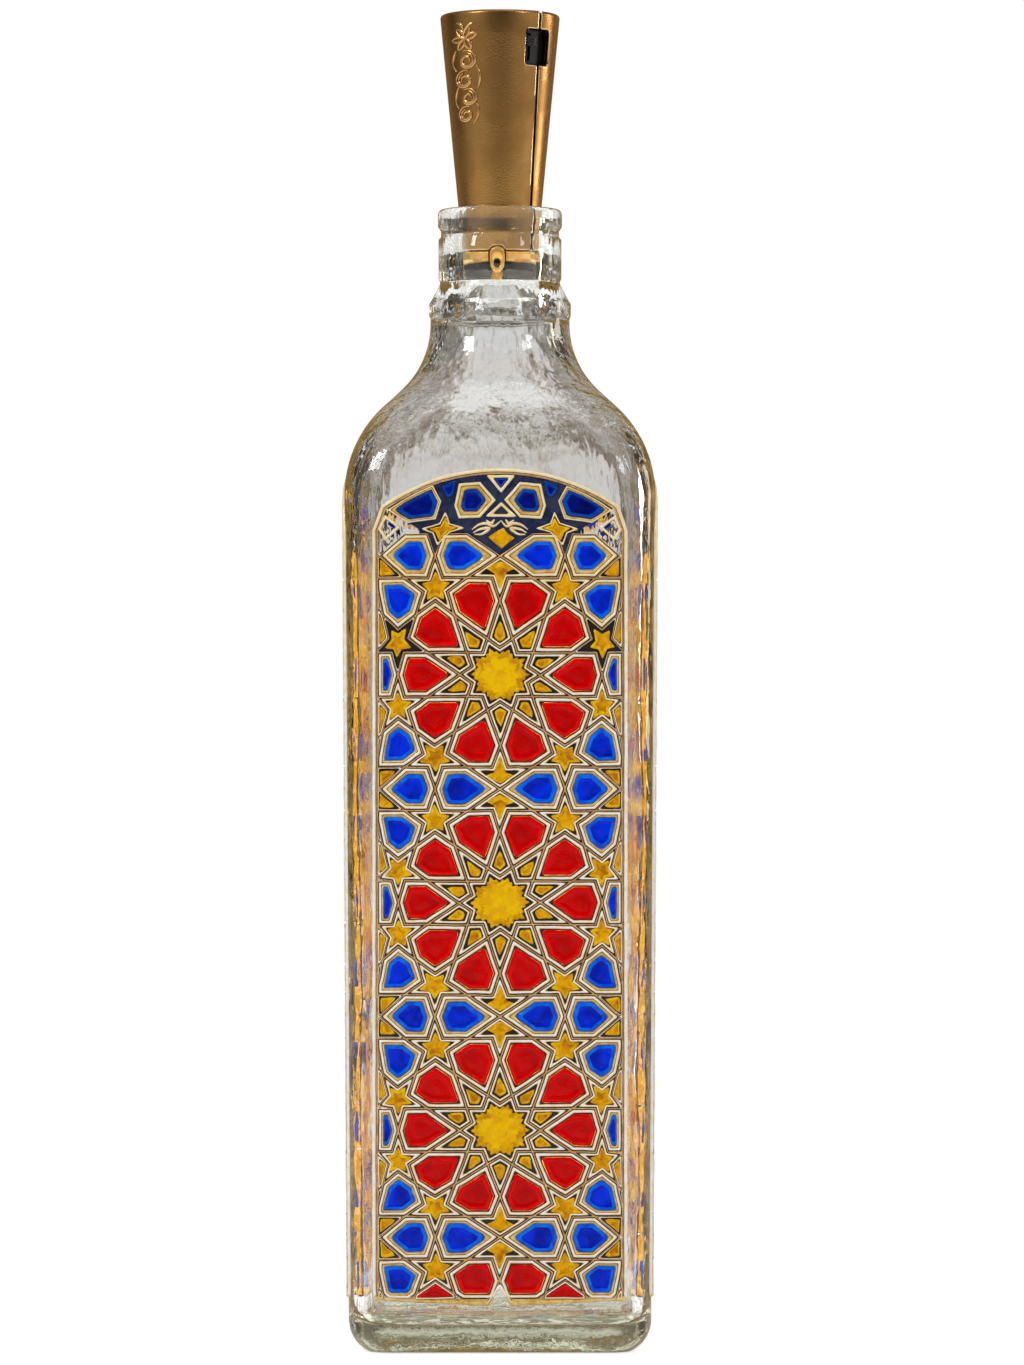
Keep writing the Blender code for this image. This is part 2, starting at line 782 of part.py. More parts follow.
def seam_cutter(name, margin, keep_cover, parent):
    """Make the wedge that divides the tapered shell at the seam plane."""
    far = STOPPER_TOP_RADIUS + CUT_OVERRUN
    low, high = -CUT_OVERRUN, STOPPER_LENGTH + CUT_OVERRUN
    low_x, high_x = seam_offset(low) + margin, seam_offset(high) + margin
    if keep_cover:
        outline = [(-far, low), (low_x, low), (high_x, high), (-far, high)]
    else:
        outline = [(low_x, low), (far + CUT_OVERRUN, low), (far + CUT_OVERRUN, high), (high_x, high)]
    return make_cutter(prism(name, outline, -far, far, None, parent))


def shell_floor():
    """Return the height of the lower edge of the shell and the cover."""
    return BASE_FLANGE_HEIGHT + RING_HEIGHT + 2 * SEAT_GAP


def shell_profile():
    """Return the profile of the tapered shell, open below, from its inner top to its outer top."""
    floor = shell_floor()
    ceiling = STOPPER_LENGTH - SHELL_WALL
    bevel_start = STOPPER_LENGTH - STOPPER_TOP_BEVEL
    return [
        (stopper_radius(ceiling) - SHELL_WALL, ceiling),
        (stopper_radius(floor) - SHELL_WALL, floor),
        (stopper_radius(floor), floor),
        (stopper_radius(bevel_start), bevel_start),
        (stopper_radius(STOPPER_LENGTH) - STOPPER_TOP_BEVEL, STOPPER_LENGTH),
    ]


def lamp_bottom():
    """Return the height of the lower edge of the lamp's bezel."""
    return -LAMP_BELOW_PLUG


def lamp_pocket(parent):
    """Make the pocket that the plug's pieces leave for the lamp's bezel."""
    half = LAMP_WIDTH / 2 + SEAT_GAP
    back = lamp_face() - LAMP_DEPTH - LAMP_PROUD - SEAT_GAP
    low = (-LAMP_OFFSET - half, -lamp_face() - CUT_OVERRUN, lamp_bottom() - SEAT_GAP)
    high = (-LAMP_OFFSET + half, -back, lamp_bottom() + LAMP_HEIGHT + SEAT_GAP)
    return make_cutter(block("lamp_pocket", low, high, None, parent))


def lamp_face():
    """Return how far the front of the lamp's bezel is from the axis."""
    return STOPPER_END_RADIUS + LAMP_PROUD


def window_frame(parent):
    """Make the empty at the middle of the switch window, square to the tapered surface."""
    height = STOPPER_LENGTH - WINDOW_BELOW_TOP
    radius = stopper_radius(height)
    turn = Matrix.Rotation(WINDOW_AZIMUTH, 4, "Z")
    tilt = Matrix.Rotation(math.atan(stopper_slope()), 4, "X")
    place = Matrix.Translation((0.0, 0.0, height)) @ turn @ Matrix.Translation((0.0, -radius, 0.0))
    return empty("switch_origin", place @ tilt, parent)


def window_cutter(parent):
    """Make the rounded cutter of the switch window."""
    half_width, half_height = WINDOW_WIDTH / 2, WINDOW_HEIGHT / 2
    low = (-half_width, -CUT_OVERRUN, -half_height)
    high = (half_width, SHELL_WALL + CUT_OVERRUN, half_height)
    return make_cutter(block("window", low, high, None, parent, WINDOW_CORNER, 1))


def housing(parent, window, pocket):
    """Make the shell of the stopper and its battery cover."""
    shell = turned("housing_shell", shell_profile(), "copper_gold", parent)
    cut(shell, seam_cutter("seam_of_shell", -SEAT_GAP / 2, False, parent), window, pocket)
    cover = turned("battery_cover", shell_profile(), "copper_gold", parent)
    cut(cover, seam_cutter("seam_of_cover", SEAT_GAP / 2, True, parent), window)


def spigot_radius():
    """Return the radius of the base's spigot, which fits inside the shell."""
    return stopper_radius(shell_floor()) - SHELL_WALL - SEAT_GAP


def hole_profile(radius, low, high):
    """Return the profile of a cutter that leaves a gap round a shaft."""
    return [(radius + SEAT_GAP, low), (radius + SEAT_GAP, high)]


def plug_end(parent, pocket):
    """Make the base, its ring, the screw and the gland."""
    spigot = spigot_radius()
    flange = stopper_radius(BASE_FLANGE_HEIGHT)
    base_profile = [
        (flange - BASE_BEVEL, 0.0),
        (flange, BASE_BEVEL),
        (flange, BASE_FLANGE_HEIGHT),
        (spigot, BASE_FLANGE_HEIGHT),
        (spigot, BASE_FLANGE_HEIGHT + SPIGOT_HEIGHT),
    ]
    base = turned("plug_base", base_profile, "dark_band", parent)
    base_top = BASE_FLANGE_HEIGHT + SPIGOT_HEIGHT
    head_top = SCREW_SETBACK + SCREW_HEAD_HEIGHT
    shank_hole = hole_profile(SCREW_RADIUS, -CUT_OVERRUN, base_top + CUT_OVERRUN)
    head_hole = hole_profile(SCREW_HEAD_RADIUS, -CUT_OVERRUN, head_top + SEAT_GAP)
    gland_hole = hole_profile(GLAND_RADIUS, -CUT_OVERRUN, base_top + CUT_OVERRUN)
    gland_centre = (-LAMP_OFFSET, -GLAND_SET_FORWARD)
    cut(
        base,
        make_cutter(turned("shank_hole", shank_hole, None, parent)),
        make_cutter(turned("head_hole", head_hole, None, parent)),
        make_cutter(turned("gland_hole", gland_hole, None, parent, centre=gland_centre)),
        pocket,
    )
    ring_low = BASE_FLANGE_HEIGHT + SEAT_GAP
    ring_high = ring_low + RING_HEIGHT
    ring_outer = stopper_radius(ring_high) + RING_PROUD
    ring_inner = spigot + SEAT_GAP
    ring_profile = [
        (ring_inner, ring_high),
        (ring_inner, ring_low),
        (ring_outer - RING_BEVEL, ring_low),
        (ring_outer, ring_low + RING_BEVEL),
        (ring_outer, ring_high - RING_BEVEL),
        (ring_outer - RING_BEVEL, ring_high),
    ]
    ring = turned("plug_ring", ring_profile, "bright_gold", parent, closed=True)
    cut(ring, pocket)
    gland_profile = [
        (GLAND_BORE_RADIUS, GLAND_INSIDE_LENGTH),
        (GLAND_BORE_RADIUS, -GLAND_BELOW_PLUG),
        (GLAND_RADIUS, -GLAND_BELOW_PLUG),
        (GLAND_RADIUS, GLAND_INSIDE_LENGTH),
    ]
    turned("wire_gland", gland_profile, "bright_gold", parent, closed=True, centre=gland_centre)
    screw_profile = [
        (SCREW_HEAD_RADIUS, SCREW_SETBACK),
        (SCREW_HEAD_RADIUS, head_top),
        (SCREW_RADIUS, head_top),
        (SCREW_RADIUS, base_top + SCREW_IN_POST),
    ]
    screw = turned("base_screw", screw_profile, "steel", parent)
    reach = SCREW_HEAD_RADIUS + CUT_OVERRUN
    for name, along_x in (("slot_across", True), ("slot_along", False)):
        half_x = reach if along_x else SCREW_SLOT_WIDTH / 2
        half_y = SCREW_SLOT_WIDTH / 2 if along_x else reach
        low = (-half_x, -half_y, -CUT_OVERRUN)
        high = (half_x, half_y, SCREW_SETBACK + SCREW_SLOT_DEPTH)
        cut(screw, make_cutter(block(name, low, high, None, parent)))


def lamp(parent):
    """Make the lamp's bezel, a rounded frame on the plug's front, and the lamp in it."""
    half_width = LAMP_WIDTH / 2
    front, back = -lamp_face(), -(lamp_face() - LAMP_PROUD - LAMP_DEPTH)
    low, high = lamp_bottom(), lamp_bottom() + LAMP_HEIGHT
    left, right = -LAMP_OFFSET - half_width, -LAMP_OFFSET + half_width
    corners = ((left, front, low), (right, back, high))
    bezel = block("lamp_bezel", *corners, "bright_gold", parent, LAMP_CORNER, 1)
    opening_low = (left + LAMP_RIM, front - CUT_OVERRUN, low + LAMP_RIM)
    opening_high = (right - LAMP_RIM, back + CUT_OVERRUN, high - LAMP_RIM)
    opening = block("lamp_opening", opening_low, opening_high, None, parent, LAMP_LENS_ROUND, 1)
    cut(bezel, make_cutter(opening))
    inset = LAMP_RIM + SEAT_GAP
    led_low = (left + inset, front + LAMP_LENS_SETBACK, low + inset)
    led_high = (right - inset, back, high - inset)
    block("lamp_led", led_low, led_high, "lamp_resin", parent, LAMP_LENS_ROUND)


def tray_floor_height():
    """Return the height of the tray's floor, which puts the stack's top just below the board."""
    springs = 2 * SEAT_GAP + SPRING_HEIGHT + 2 * SPRING_WIRE_RADIUS
    stack = TRAY_FLOOR + springs + len(CELL_NAMES) * (CELL_HEIGHT + SEAT_GAP) + PLATE_THICKNESS
    board_low = STOPPER_LENGTH - WINDOW_BELOW_TOP - BOARD_HEIGHT / 2
    return board_low - STACK_BELOW_BOARD - stack


def tray_and_cells(parent):
    """Make the battery tray on its post, the cells and their contacts."""
    centre = (CELL_AXIS_OFFSET, 0.0)
    floor_low = tray_floor_height()
    floor_high = floor_low + TRAY_FLOOR
    stack_low = floor_high + 2 * SEAT_GAP + SPRING_HEIGHT + 2 * SPRING_WIRE_RADIUS
    stack_step = CELL_HEIGHT + SEAT_GAP
    stack_high = stack_low + len(CELL_NAMES) * stack_step
    inner = CELL_RADIUS + SEAT_GAP
    outer = inner + TRAY_WALL
    post_low = BASE_FLANGE_HEIGHT + SPIGOT_HEIGHT + SEAT_GAP
    tray_profile = [
        (POST_RADIUS, post_low),
        (POST_RADIUS, floor_low),
        (outer, floor_low),
        (outer, stack_high),
        (inner, stack_high),
        (inner, floor_high),
    ]
    rings = [circle(r, z, (0.0, 0.0) if r == POST_RADIUS else centre) for r, z in tray_profile]
    points, faces = loft(rings)
    tray = mesh_object("battery_tray", points, faces, "tray_plastic", parent)
    far = STOPPER_TOP_RADIUS + CUT_OVERRUN
    low = (centre[0] + SEAT_GAP, -far, floor_high + TRAY_LIP)
    high = (far, far, stack_high + CUT_OVERRUN)
    open_side = make_cutter(block("tray_opening", low, high, None, parent))
    pilot_top = BASE_FLANGE_HEIGHT + SPIGOT_HEIGHT + SCREW_IN_POST + SEAT_GAP
    pilot = hole_profile(SCREW_RADIUS, post_low - CUT_OVERRUN, pilot_top)
    cut(tray, open_side, make_cutter(turned("pilot_hole", pilot, None, parent)))
    for i, name in enumerate(CELL_NAMES):
        low = stack_low + stack_step * i
        cap = low + CELL_HEIGHT - CELL_CAP_HEIGHT
        profile = [
            (CELL_RADIUS, low),
            (CELL_RADIUS, cap),
            (CELL_CAP_RADIUS, cap),
            (CELL_CAP_RADIUS, low + CELL_HEIGHT),
        ]
        turned(name, profile, "steel", parent, centre=centre)
    contact_spring(floor_high + SEAT_GAP + SPRING_WIRE_RADIUS, centre, parent)
    plate = [(PLATE_RADIUS, stack_high), (PLATE_RADIUS, stack_high + PLATE_THICKNESS)]
    turned("contact_plate", plate, "steel", parent, centre=centre)


def contact_spring(low, centre, parent):
    """Make the conical spring under the cells, as one tube."""
    count = int(SPRING_TURNS * SPRING_TURN_POINTS) + 1
    curve = bpy.data.curves.new("contact_spring", "CURVE")
    curve.dimensions = "3D"
    curve.bevel_depth = SPRING_WIRE_RADIUS
    curve.bevel_resolution = 1
    curve.use_fill_caps = True
    spline = curve.splines.new("POLY")
    spline.points.add(count - 1)
    for i in range(count):
        share = i / (count - 1)
        angle = math.tau * SPRING_TURNS * share
        radius = SPRING_END_RADIUS + (SPRING_TOP_RADIUS - SPRING_END_RADIUS) * share
        x = centre[0] + radius * math.cos(angle)
        y = centre[1] + radius * math.sin(angle)
        spline.points[i].co = (x, y, low + SPRING_HEIGHT * share, 1)
    item = bpy.data.objects.new("contact_spring", curve)
    bpy.context.scene.collection.objects.link(item)
    item.data.materials.append(finish("steel"))
    item.parent = parent


def switch(frame):
    """Make the slide switch and its board behind the window."""
    body_front = SHELL_WALL + SWITCH_BODY_RECESS
    half_width, half_height = SWITCH_BODY_WIDTH / 2, SWITCH_BODY_HEIGHT / 2
    body_back = body_front + SWITCH_BODY_DEPTH
    low = (-half_width, body_front, -half_height)
    high = (half_width, body_back, half_height)
    block("switch_body", low, high, "black_plastic", frame)
    knob_top = WINDOW_HEIGHT / 2 - KNOB_FROM_WINDOW_TOP
    low = (-KNOB_SEAM_GAP - KNOB_WIDTH, KNOB_RECESS, knob_top - KNOB_HEIGHT)
    high = (-KNOB_SEAM_GAP, body_front - SEAT_GAP, knob_top)
    knob = block("switch_knob", low, high, "black_plastic", frame, KNOB_BEVEL)
    middle = knob_top - KNOB_HEIGHT / 2
    groove_low = (low[0] - CUT_OVERRUN, KNOB_RECESS - CUT_OVERRUN, middle - KNOB_GROOVE_DEPTH)
    groove_high = (high[0] + CUT_OVERRUN, KNOB_RECESS + KNOB_GROOVE_DEPTH, middle + KNOB_GROOVE_DEPTH)
    cut(knob, make_cutter(block("knob_groove", groove_low, groove_high, None, frame)))
    board_front = body_back + SEAT_GAP
    board_back = board_front + BOARD_THICKNESS
    low = (-BOARD_WIDTH / 2, board_front, -BOARD_HEIGHT / 2)
    high = (BOARD_WIDTH / 2, board_back, BOARD_HEIGHT / 2)
    block("circuit_board", low, high, "board", frame)
    chip_front = board_back + SEAT_GAP
    low = (-CHIP_WIDTH / 2, chip_front, -CHIP_HEIGHT / 2)
    high = (CHIP_WIDTH / 2, chip_front + CHIP_THICKNESS, CHIP_HEIGHT / 2)
    block("driver_chip", low, high, "black_plastic", frame)


def stopper():
    """Make the stopper, seated in the lip."""
    seat = Matrix.Translation((0.0, 0.0, bottle_height() - PLUG_DEPTH))
    origin = empty("stopper_origin", seat)
    frame = window_frame(origin)
    pocket = lamp_pocket(origin)
    window = window_cutter(frame)
    housing(origin, window, pocket)
    plug_end(origin, pocket)
    lamp(origin)
    tray_and_cells(origin)
    switch(frame)


def main():
    """Build the whole part."""
    clear_scene()
    glass_bottle()
    panels()
    stopper()


main()
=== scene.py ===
"""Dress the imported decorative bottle: a painted square glass bottle with a bottle-light stopper."""

import logging
import math
from dataclasses import dataclass, field
from enum import Enum, IntEnum
from functools import cached_property
from typing import Iterable, Optional, Sequence

import bmesh
import bpy
import numpy as np
from mathutils import Matrix, Vector, noise


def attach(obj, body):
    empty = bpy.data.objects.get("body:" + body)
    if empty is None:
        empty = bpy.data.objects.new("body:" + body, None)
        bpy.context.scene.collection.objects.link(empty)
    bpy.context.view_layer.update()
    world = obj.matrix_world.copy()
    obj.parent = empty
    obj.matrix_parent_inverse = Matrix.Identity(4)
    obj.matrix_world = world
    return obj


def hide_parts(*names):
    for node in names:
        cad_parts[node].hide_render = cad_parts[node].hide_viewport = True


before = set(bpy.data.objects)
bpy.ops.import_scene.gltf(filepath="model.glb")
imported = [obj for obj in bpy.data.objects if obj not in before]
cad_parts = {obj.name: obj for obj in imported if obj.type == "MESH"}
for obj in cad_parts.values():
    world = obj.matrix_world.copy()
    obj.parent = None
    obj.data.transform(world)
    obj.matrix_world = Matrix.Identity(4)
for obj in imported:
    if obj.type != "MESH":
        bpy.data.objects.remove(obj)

LOG = logging.getLogger("bottle")
MM = 0.001
QUARTER = math.radians(90)
Pair = tuple[float, float]
Point = tuple[float, float, float]
Colour = tuple[float, float, float]
Stops = tuple[tuple[float, Colour], ...]
# A range of values and what it becomes: from low, from high, to low, to high.
Ease = tuple[float, float, float, float]


class Body(Enum):
    """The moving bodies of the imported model."""

    BOTTLE = "bottle"
    STOPPER = "stopper"
    COVER = "cover"
    KNOB = "knob"


class Slot(Enum):
    """The record's material slots, passed along with each new piece."""

    GLASS = "clear_glass"
    GILT = "gilt_relief"
    RED = "enamel_red"
    BLUE = "enamel_blue"
    YELLOW = "enamel_yellow"
    COPPER = "copper_gold"
    GOLD = "bright_gold"
    BLACK = "black_plastic"
    LAMP = "lamp_resin"


class Side(Enum):
    """The four painted sides, with their quarter turns from the front."""

    FRONT = 0
    RIGHT = 1
    BACK = 2
    LEFT = 3

    @property
    def turn(self) -> Matrix:
        """Return the rotation that takes the front panel to this side."""
        return Matrix.Rotation(QUARTER * self.value, 4, "Z")


class Form(Enum):
    """How the paint lies in a cell of the pattern."""

    PETAL = "petal"
    STAR = "star"
    ROSETTE = "rosette"
    KITE = "kite"
    ARROW = "arrow"
    FLECK = "fleck"
    OPEN = "open"
    PLAIN = "plain"


class Paint(Enum):
    """The glass paints."""

    RED = "red"
    BLUE = "blue"
    YELLOW = "yellow"


class Layer(IntEnum):
    """The contour work's material slots."""

    CORD = 0
    STRAP = 1
    NAVY = 2
    MOAT = 3
    BAND = 4


def linked(name: str, data: bpy.types.ID) -> bpy.types.Object:
    """Return a new object of the scene that carries the data."""
    item = bpy.data.objects.new(name, data)
    bpy.context.scene.collection.objects.link(item)
    return item


class NodeGraph:
    """Short calls that add and join the nodes of one node tree."""

    # Blender numbers the Mix node's sockets by type. These are the factor and the two colours.
    mix_inputs = (0, 6, 7)
    mix_output = 2

    def __init__(self, tree: bpy.types.NodeTree) -> None:
        """Keep the tree that the nodes go into."""
        self.tree = tree

    @classmethod
    def shading(cls, name: str) -> tuple:
        """Start a material and return it with its graph and its shader."""
        material = bpy.data.materials.new(name)
        material.use_nodes = True
        tree = material.node_tree
        return material, cls(tree), tree.nodes["Principled BSDF"]

    def feed(self, node: bpy.types.Node, values: dict) -> None:
        """Join or set each of a node's inputs, given by name or number."""
        for name, value in values.items():
            socket = node.inputs[name]
            if isinstance(value, bpy.types.NodeSocket):
                self.tree.links.new(value, socket)
            else:
                socket.default_value = value

    def add(self, kind: str, values: Optional[dict] = None, **settings: object) -> bpy.types.Node:
        """Add a node, set its properties and fill its inputs.

        Args:
            kind: The node's type name without the "ShaderNode" prefix.
            values: Input names or numbers, each with a value or a socket to join.
            settings: Properties of the node itself.

        Returns:
            The new node.
        """
        prefix = "" if kind.startswith("NodeGroup") else "ShaderNode"
        node = self.tree.nodes.new(prefix + kind)
        for name, value in settings.items():
            setattr(node, name, value)
        self.feed(node, values or {})
        return node

    def group(self, tree: bpy.types.NodeTree, values: dict) -> bpy.types.bpy_prop_collection:
        """Place a node group, fill its inputs and return its outputs."""
        return self.add("Group", values, node_tree=tree).outputs

    def place(self) -> bpy.types.NodeSocket:
        """Return a socket with the shaded point in the object's own frame."""
        return self.add("TexCoord").outputs["Object"]

    def parts(self, vector: bpy.types.NodeSocket) -> tuple[bpy.types.NodeSocket, ...]:
        """Return the sockets X, Y and Z of a vector."""
        outputs = self.add("SeparateXYZ", {"Vector": vector}).outputs
        return outputs["X"], outputs["Y"], outputs["Z"]

    def joined(self, x: object, y: object, z: object) -> bpy.types.NodeSocket:
        """Return a socket with the vector of three numbers."""
        return self.add("CombineXYZ", {"X": x, "Y": y, "Z": z}).outputs["Vector"]

    def length(self, vector: bpy.types.NodeSocket) -> bpy.types.NodeSocket:
        """Return a socket with a vector's length."""
        return self.add("VectorMath", {0: vector}, operation="LENGTH").outputs["Value"]

    def cloud(self, place: object, scale: object, detail: float, **more: float) -> bpy.types.NodeSocket:
        """Return a socket with a cloudy noise at a place."""
        values = {"Vector": place, "Scale": scale, "Detail": detail, **more}
        return self.add("TexNoise", values).outputs["Fac"]

    def between(
        self,
        value: bpy.types.NodeSocket,
        low: object,
        high: object,
        out_low: float = 0.0,
        out_high: float = 1.0,
        shape: str = "SMOOTHSTEP",
    ) -> bpy.types.NodeSocket:
        """Return a socket that maps one range of values onto another."""
        values = {"Value": value, "From Min": low, "From Max": high, "To Min": out_low, "To Max": out_high}
        return self.add("MapRange", values, interpolation_type=shape).outputs["Result"]

    def mix(self, factor: object, first: object, second: object, blend: str = "MIX") -> bpy.types.NodeSocket:
        """Return a socket that mixes two colours."""
        colours = (c if isinstance(c, bpy.types.NodeSocket) else (*c, 1) for c in (first, second))
        values = dict(zip(self.mix_inputs, (factor, *colours)))
        return self.add("Mix", values, data_type="RGBA", blend_type=blend).outputs[self.mix_output]

    def ramp(self, value: bpy.types.NodeSocket, stops: Sequence[tuple]) -> bpy.types.NodeSocket:
        """Return a socket with the colour, or the grey level, that a row of stops gives a value."""
        node = self.add("ValToRGB", {"Fac": value})
        elements = node.color_ramp.elements
        while len(elements) < len(stops):
            elements.new(0.5)
        for element, (place, colour) in zip(elements, stops):
            element.position = place
            element.color = (*colour, 1) if isinstance(colour, tuple) else (colour, colour, colour, 1)
        return node.outputs["Color"]

    def math(self, operation: str, first: object, second: object = 0.0) -> bpy.types.NodeSocket:
        """Return a socket with the result of one sum."""
        return self.add("Math", {0: first, 1: second}, operation=operation).outputs[0]

    def product(self, *factors: object) -> bpy.types.NodeSocket:
        """Return a socket with the product of two or more numbers."""
        result = factors[0]
        for factor in factors[1:]:
            result = self.math("MULTIPLY", result, factor)
        return result


class EffectLibrary:
    """The shader node groups that more than one finish uses, each built when first used."""

    number = "NodeSocketFloat"
    colour = "NodeSocketColor"

    def start(self, name: str, inputs: dict[str, object], outputs: dict[str, str]) -> tuple:
        """Start a group with named sockets.

        Args:
            name: The group's name.
            inputs: Number or colour inputs with their defaults.
            outputs: Output names with their socket types.

        Returns:
            The group's graph, the sockets that it is given and its output node.
        """
        tree = bpy.data.node_groups.new(name, "ShaderNodeTree")
        for label, value in inputs.items():
            kind = self.colour if isinstance(value, tuple) else self.number
            socket = tree.interface.new_socket(label, in_out="INPUT", socket_type=kind)
            socket.default_value = value
        for label, kind in outputs.items():
            tree.interface.new_socket(label, in_out="OUTPUT", socket_type=kind)
        graph = NodeGraph(tree)
        return graph, graph.add("NodeGroupInput").outputs, graph.add("NodeGroupOutput")

    @cached_property
    def mottle(self) -> bpy.types.NodeTree:
        """Return the group that clouds one colour with another and puts out the cloud's mask."""
        inputs = {"Colour": (1.0,) * 4, "Second": (0.5, 0.5, 0.5, 1.0), "Scale": 200.0, "Low": 0.4, "High": 0.6}
        graph, given, result = self.start("mottle", inputs, {"Colour": self.colour, "Mask": self.number})
        cloud = graph.cloud(graph.place(), given["Scale"], 4.0, Roughness=0.6, Distortion=0.6)
        mask = graph.between(cloud, given["Low"], given["High"], shape="LINEAR")
        graph.feed(result, {"Colour": graph.mix(mask, given["Colour"], given["Second"]), "Mask": mask})
        return graph.tree

    @cached_property
    def grain(self) -> bpy.types.NodeTree:
        """Return the group that puts out the height of a fine grain over a slow swell."""
        inputs = {"Scale": 2000.0, "Swell Scale": 120.0, "Swell": 0.3, "Stretch": 1.0}
        graph, given, result = self.start("grain", inputs, {"Height": self.number})
        x, y, z = graph.parts(graph.place())
        place = graph.joined(x, y, graph.product(z, given["Stretch"]))
        fine = graph.cloud(place, given["Scale"], 2.0)
        swell = graph.product(graph.cloud(place, given["Swell Scale"], 1.0), given["Swell"])
        graph.feed(result, {"Height": graph.math("ADD", fine, swell)})
        return graph.tree

    @cached_property
    def climb(self) -> bpy.types.NodeTree:
        """Return the group that puts out a mask rising between two heights of the object."""
        graph, given, result = self.start("climb", {"From": 0.0, "To": 0.1}, {"Mask": self.number})
        height = graph.parts(graph.place())[2]
        graph.feed(result, {"Mask": graph.between(height, given["From"], given["To"])})
        return graph.tree

    def risen(self, graph: NodeGraph, low: float, high: float) -> bpy.types.NodeSocket:
        """Return a socket with the mask that rises between two heights."""
        return graph.group(self.climb, {"From": low, "To": high})["Mask"]

    def normal(self, graph: NodeGraph, grain: dict, strength: float, distance: float) -> bpy.types.NodeSocket:
        """Return a socket with the normal of a grained surface.

        Args:
            graph: The material's nodes.
            grain: The values of the grain group's inputs.
            strength: How strongly the grain shows.
            distance: The height of the grain, in metres.

        Returns:
            The normal's socket.
        """
        height = graph.group(self.grain, grain)["Height"]
        return graph.add("Bump", {"Height": height, "Strength": strength, "Distance": distance}).outputs["Normal"]


EFFECTS = EffectLibrary()


@dataclass(frozen=True)
class Finish:
    """A clouded, grained surface for paint, plastic and metal."""

    name: str
    colour: Colour
    second: Colour
    metallic: float = 0.0
    roughness: float = 0.4
    rough_spread: float = 0.05
    cloud_scale: float = 200.0
    cloud_low: float = 0.4
    cloud_high: float = 0.62
    grain_scale: float = 2500.0
    swell_scale: float = 150.0
    swell: float = 0.5
    bump: float = 0.15
    bump_distance: float = 0.0001
    coat: float = 0.0
    coat_roughness: float = 0.03
    gloss: float = 0.5
    # A painted glow: emission in the surface's own colour, on parts that are no lamp.
    painted_glow: float = 0.0
    upper_colour: Optional[Colour] = None
    upper_from: float = 0.16
    upper_to: float = 0.21

    def material(self) -> bpy.types.Material:
        """Return the finish's material, built once."""
        known = bpy.data.materials.get(self.name)
        if known:
            return known
        material, graph, shader = NodeGraph.shading(self.name)
        mottled = graph.group(EFFECTS.mottle, {
            "Colour": (*self.colour, 1), "Second": (*self.second, 1),
            "Scale": self.cloud_scale, "Low": self.cloud_low, "High": self.cloud_high,
        })
        colour = mottled["Colour"]
        if self.upper_colour:
            risen = EFFECTS.risen(graph, self.upper_from, self.upper_to)
            colour = graph.mix(risen, colour, self.upper_colour, "MULTIPLY")
        low, high = self.roughness - self.rough_spread, self.roughness + self.rough_spread
        grain = {"Scale": self.grain_scale, "Swell Scale": self.swell_scale, "Swell": self.swell}
        graph.feed(shader, {
            "Base Color": colour,
            "Metallic": self.metallic,
            "Roughness": graph.between(mottled["Mask"], 0.0, 1.0, max(low, 0.0), high),
            "Normal": EFFECTS.normal(graph, grain, self.bump, self.bump_distance),
            "Coat Weight": self.coat,
            "Coat Roughness": self.coat_roughness,
            "Specular IOR Level": self.gloss,
        })
        # Painted light: the surface glows in its own colour.
        if self.painted_glow:
            graph.feed(shader, {"Emission Color": colour, "Emission Strength": self.painted_glow})
        return material


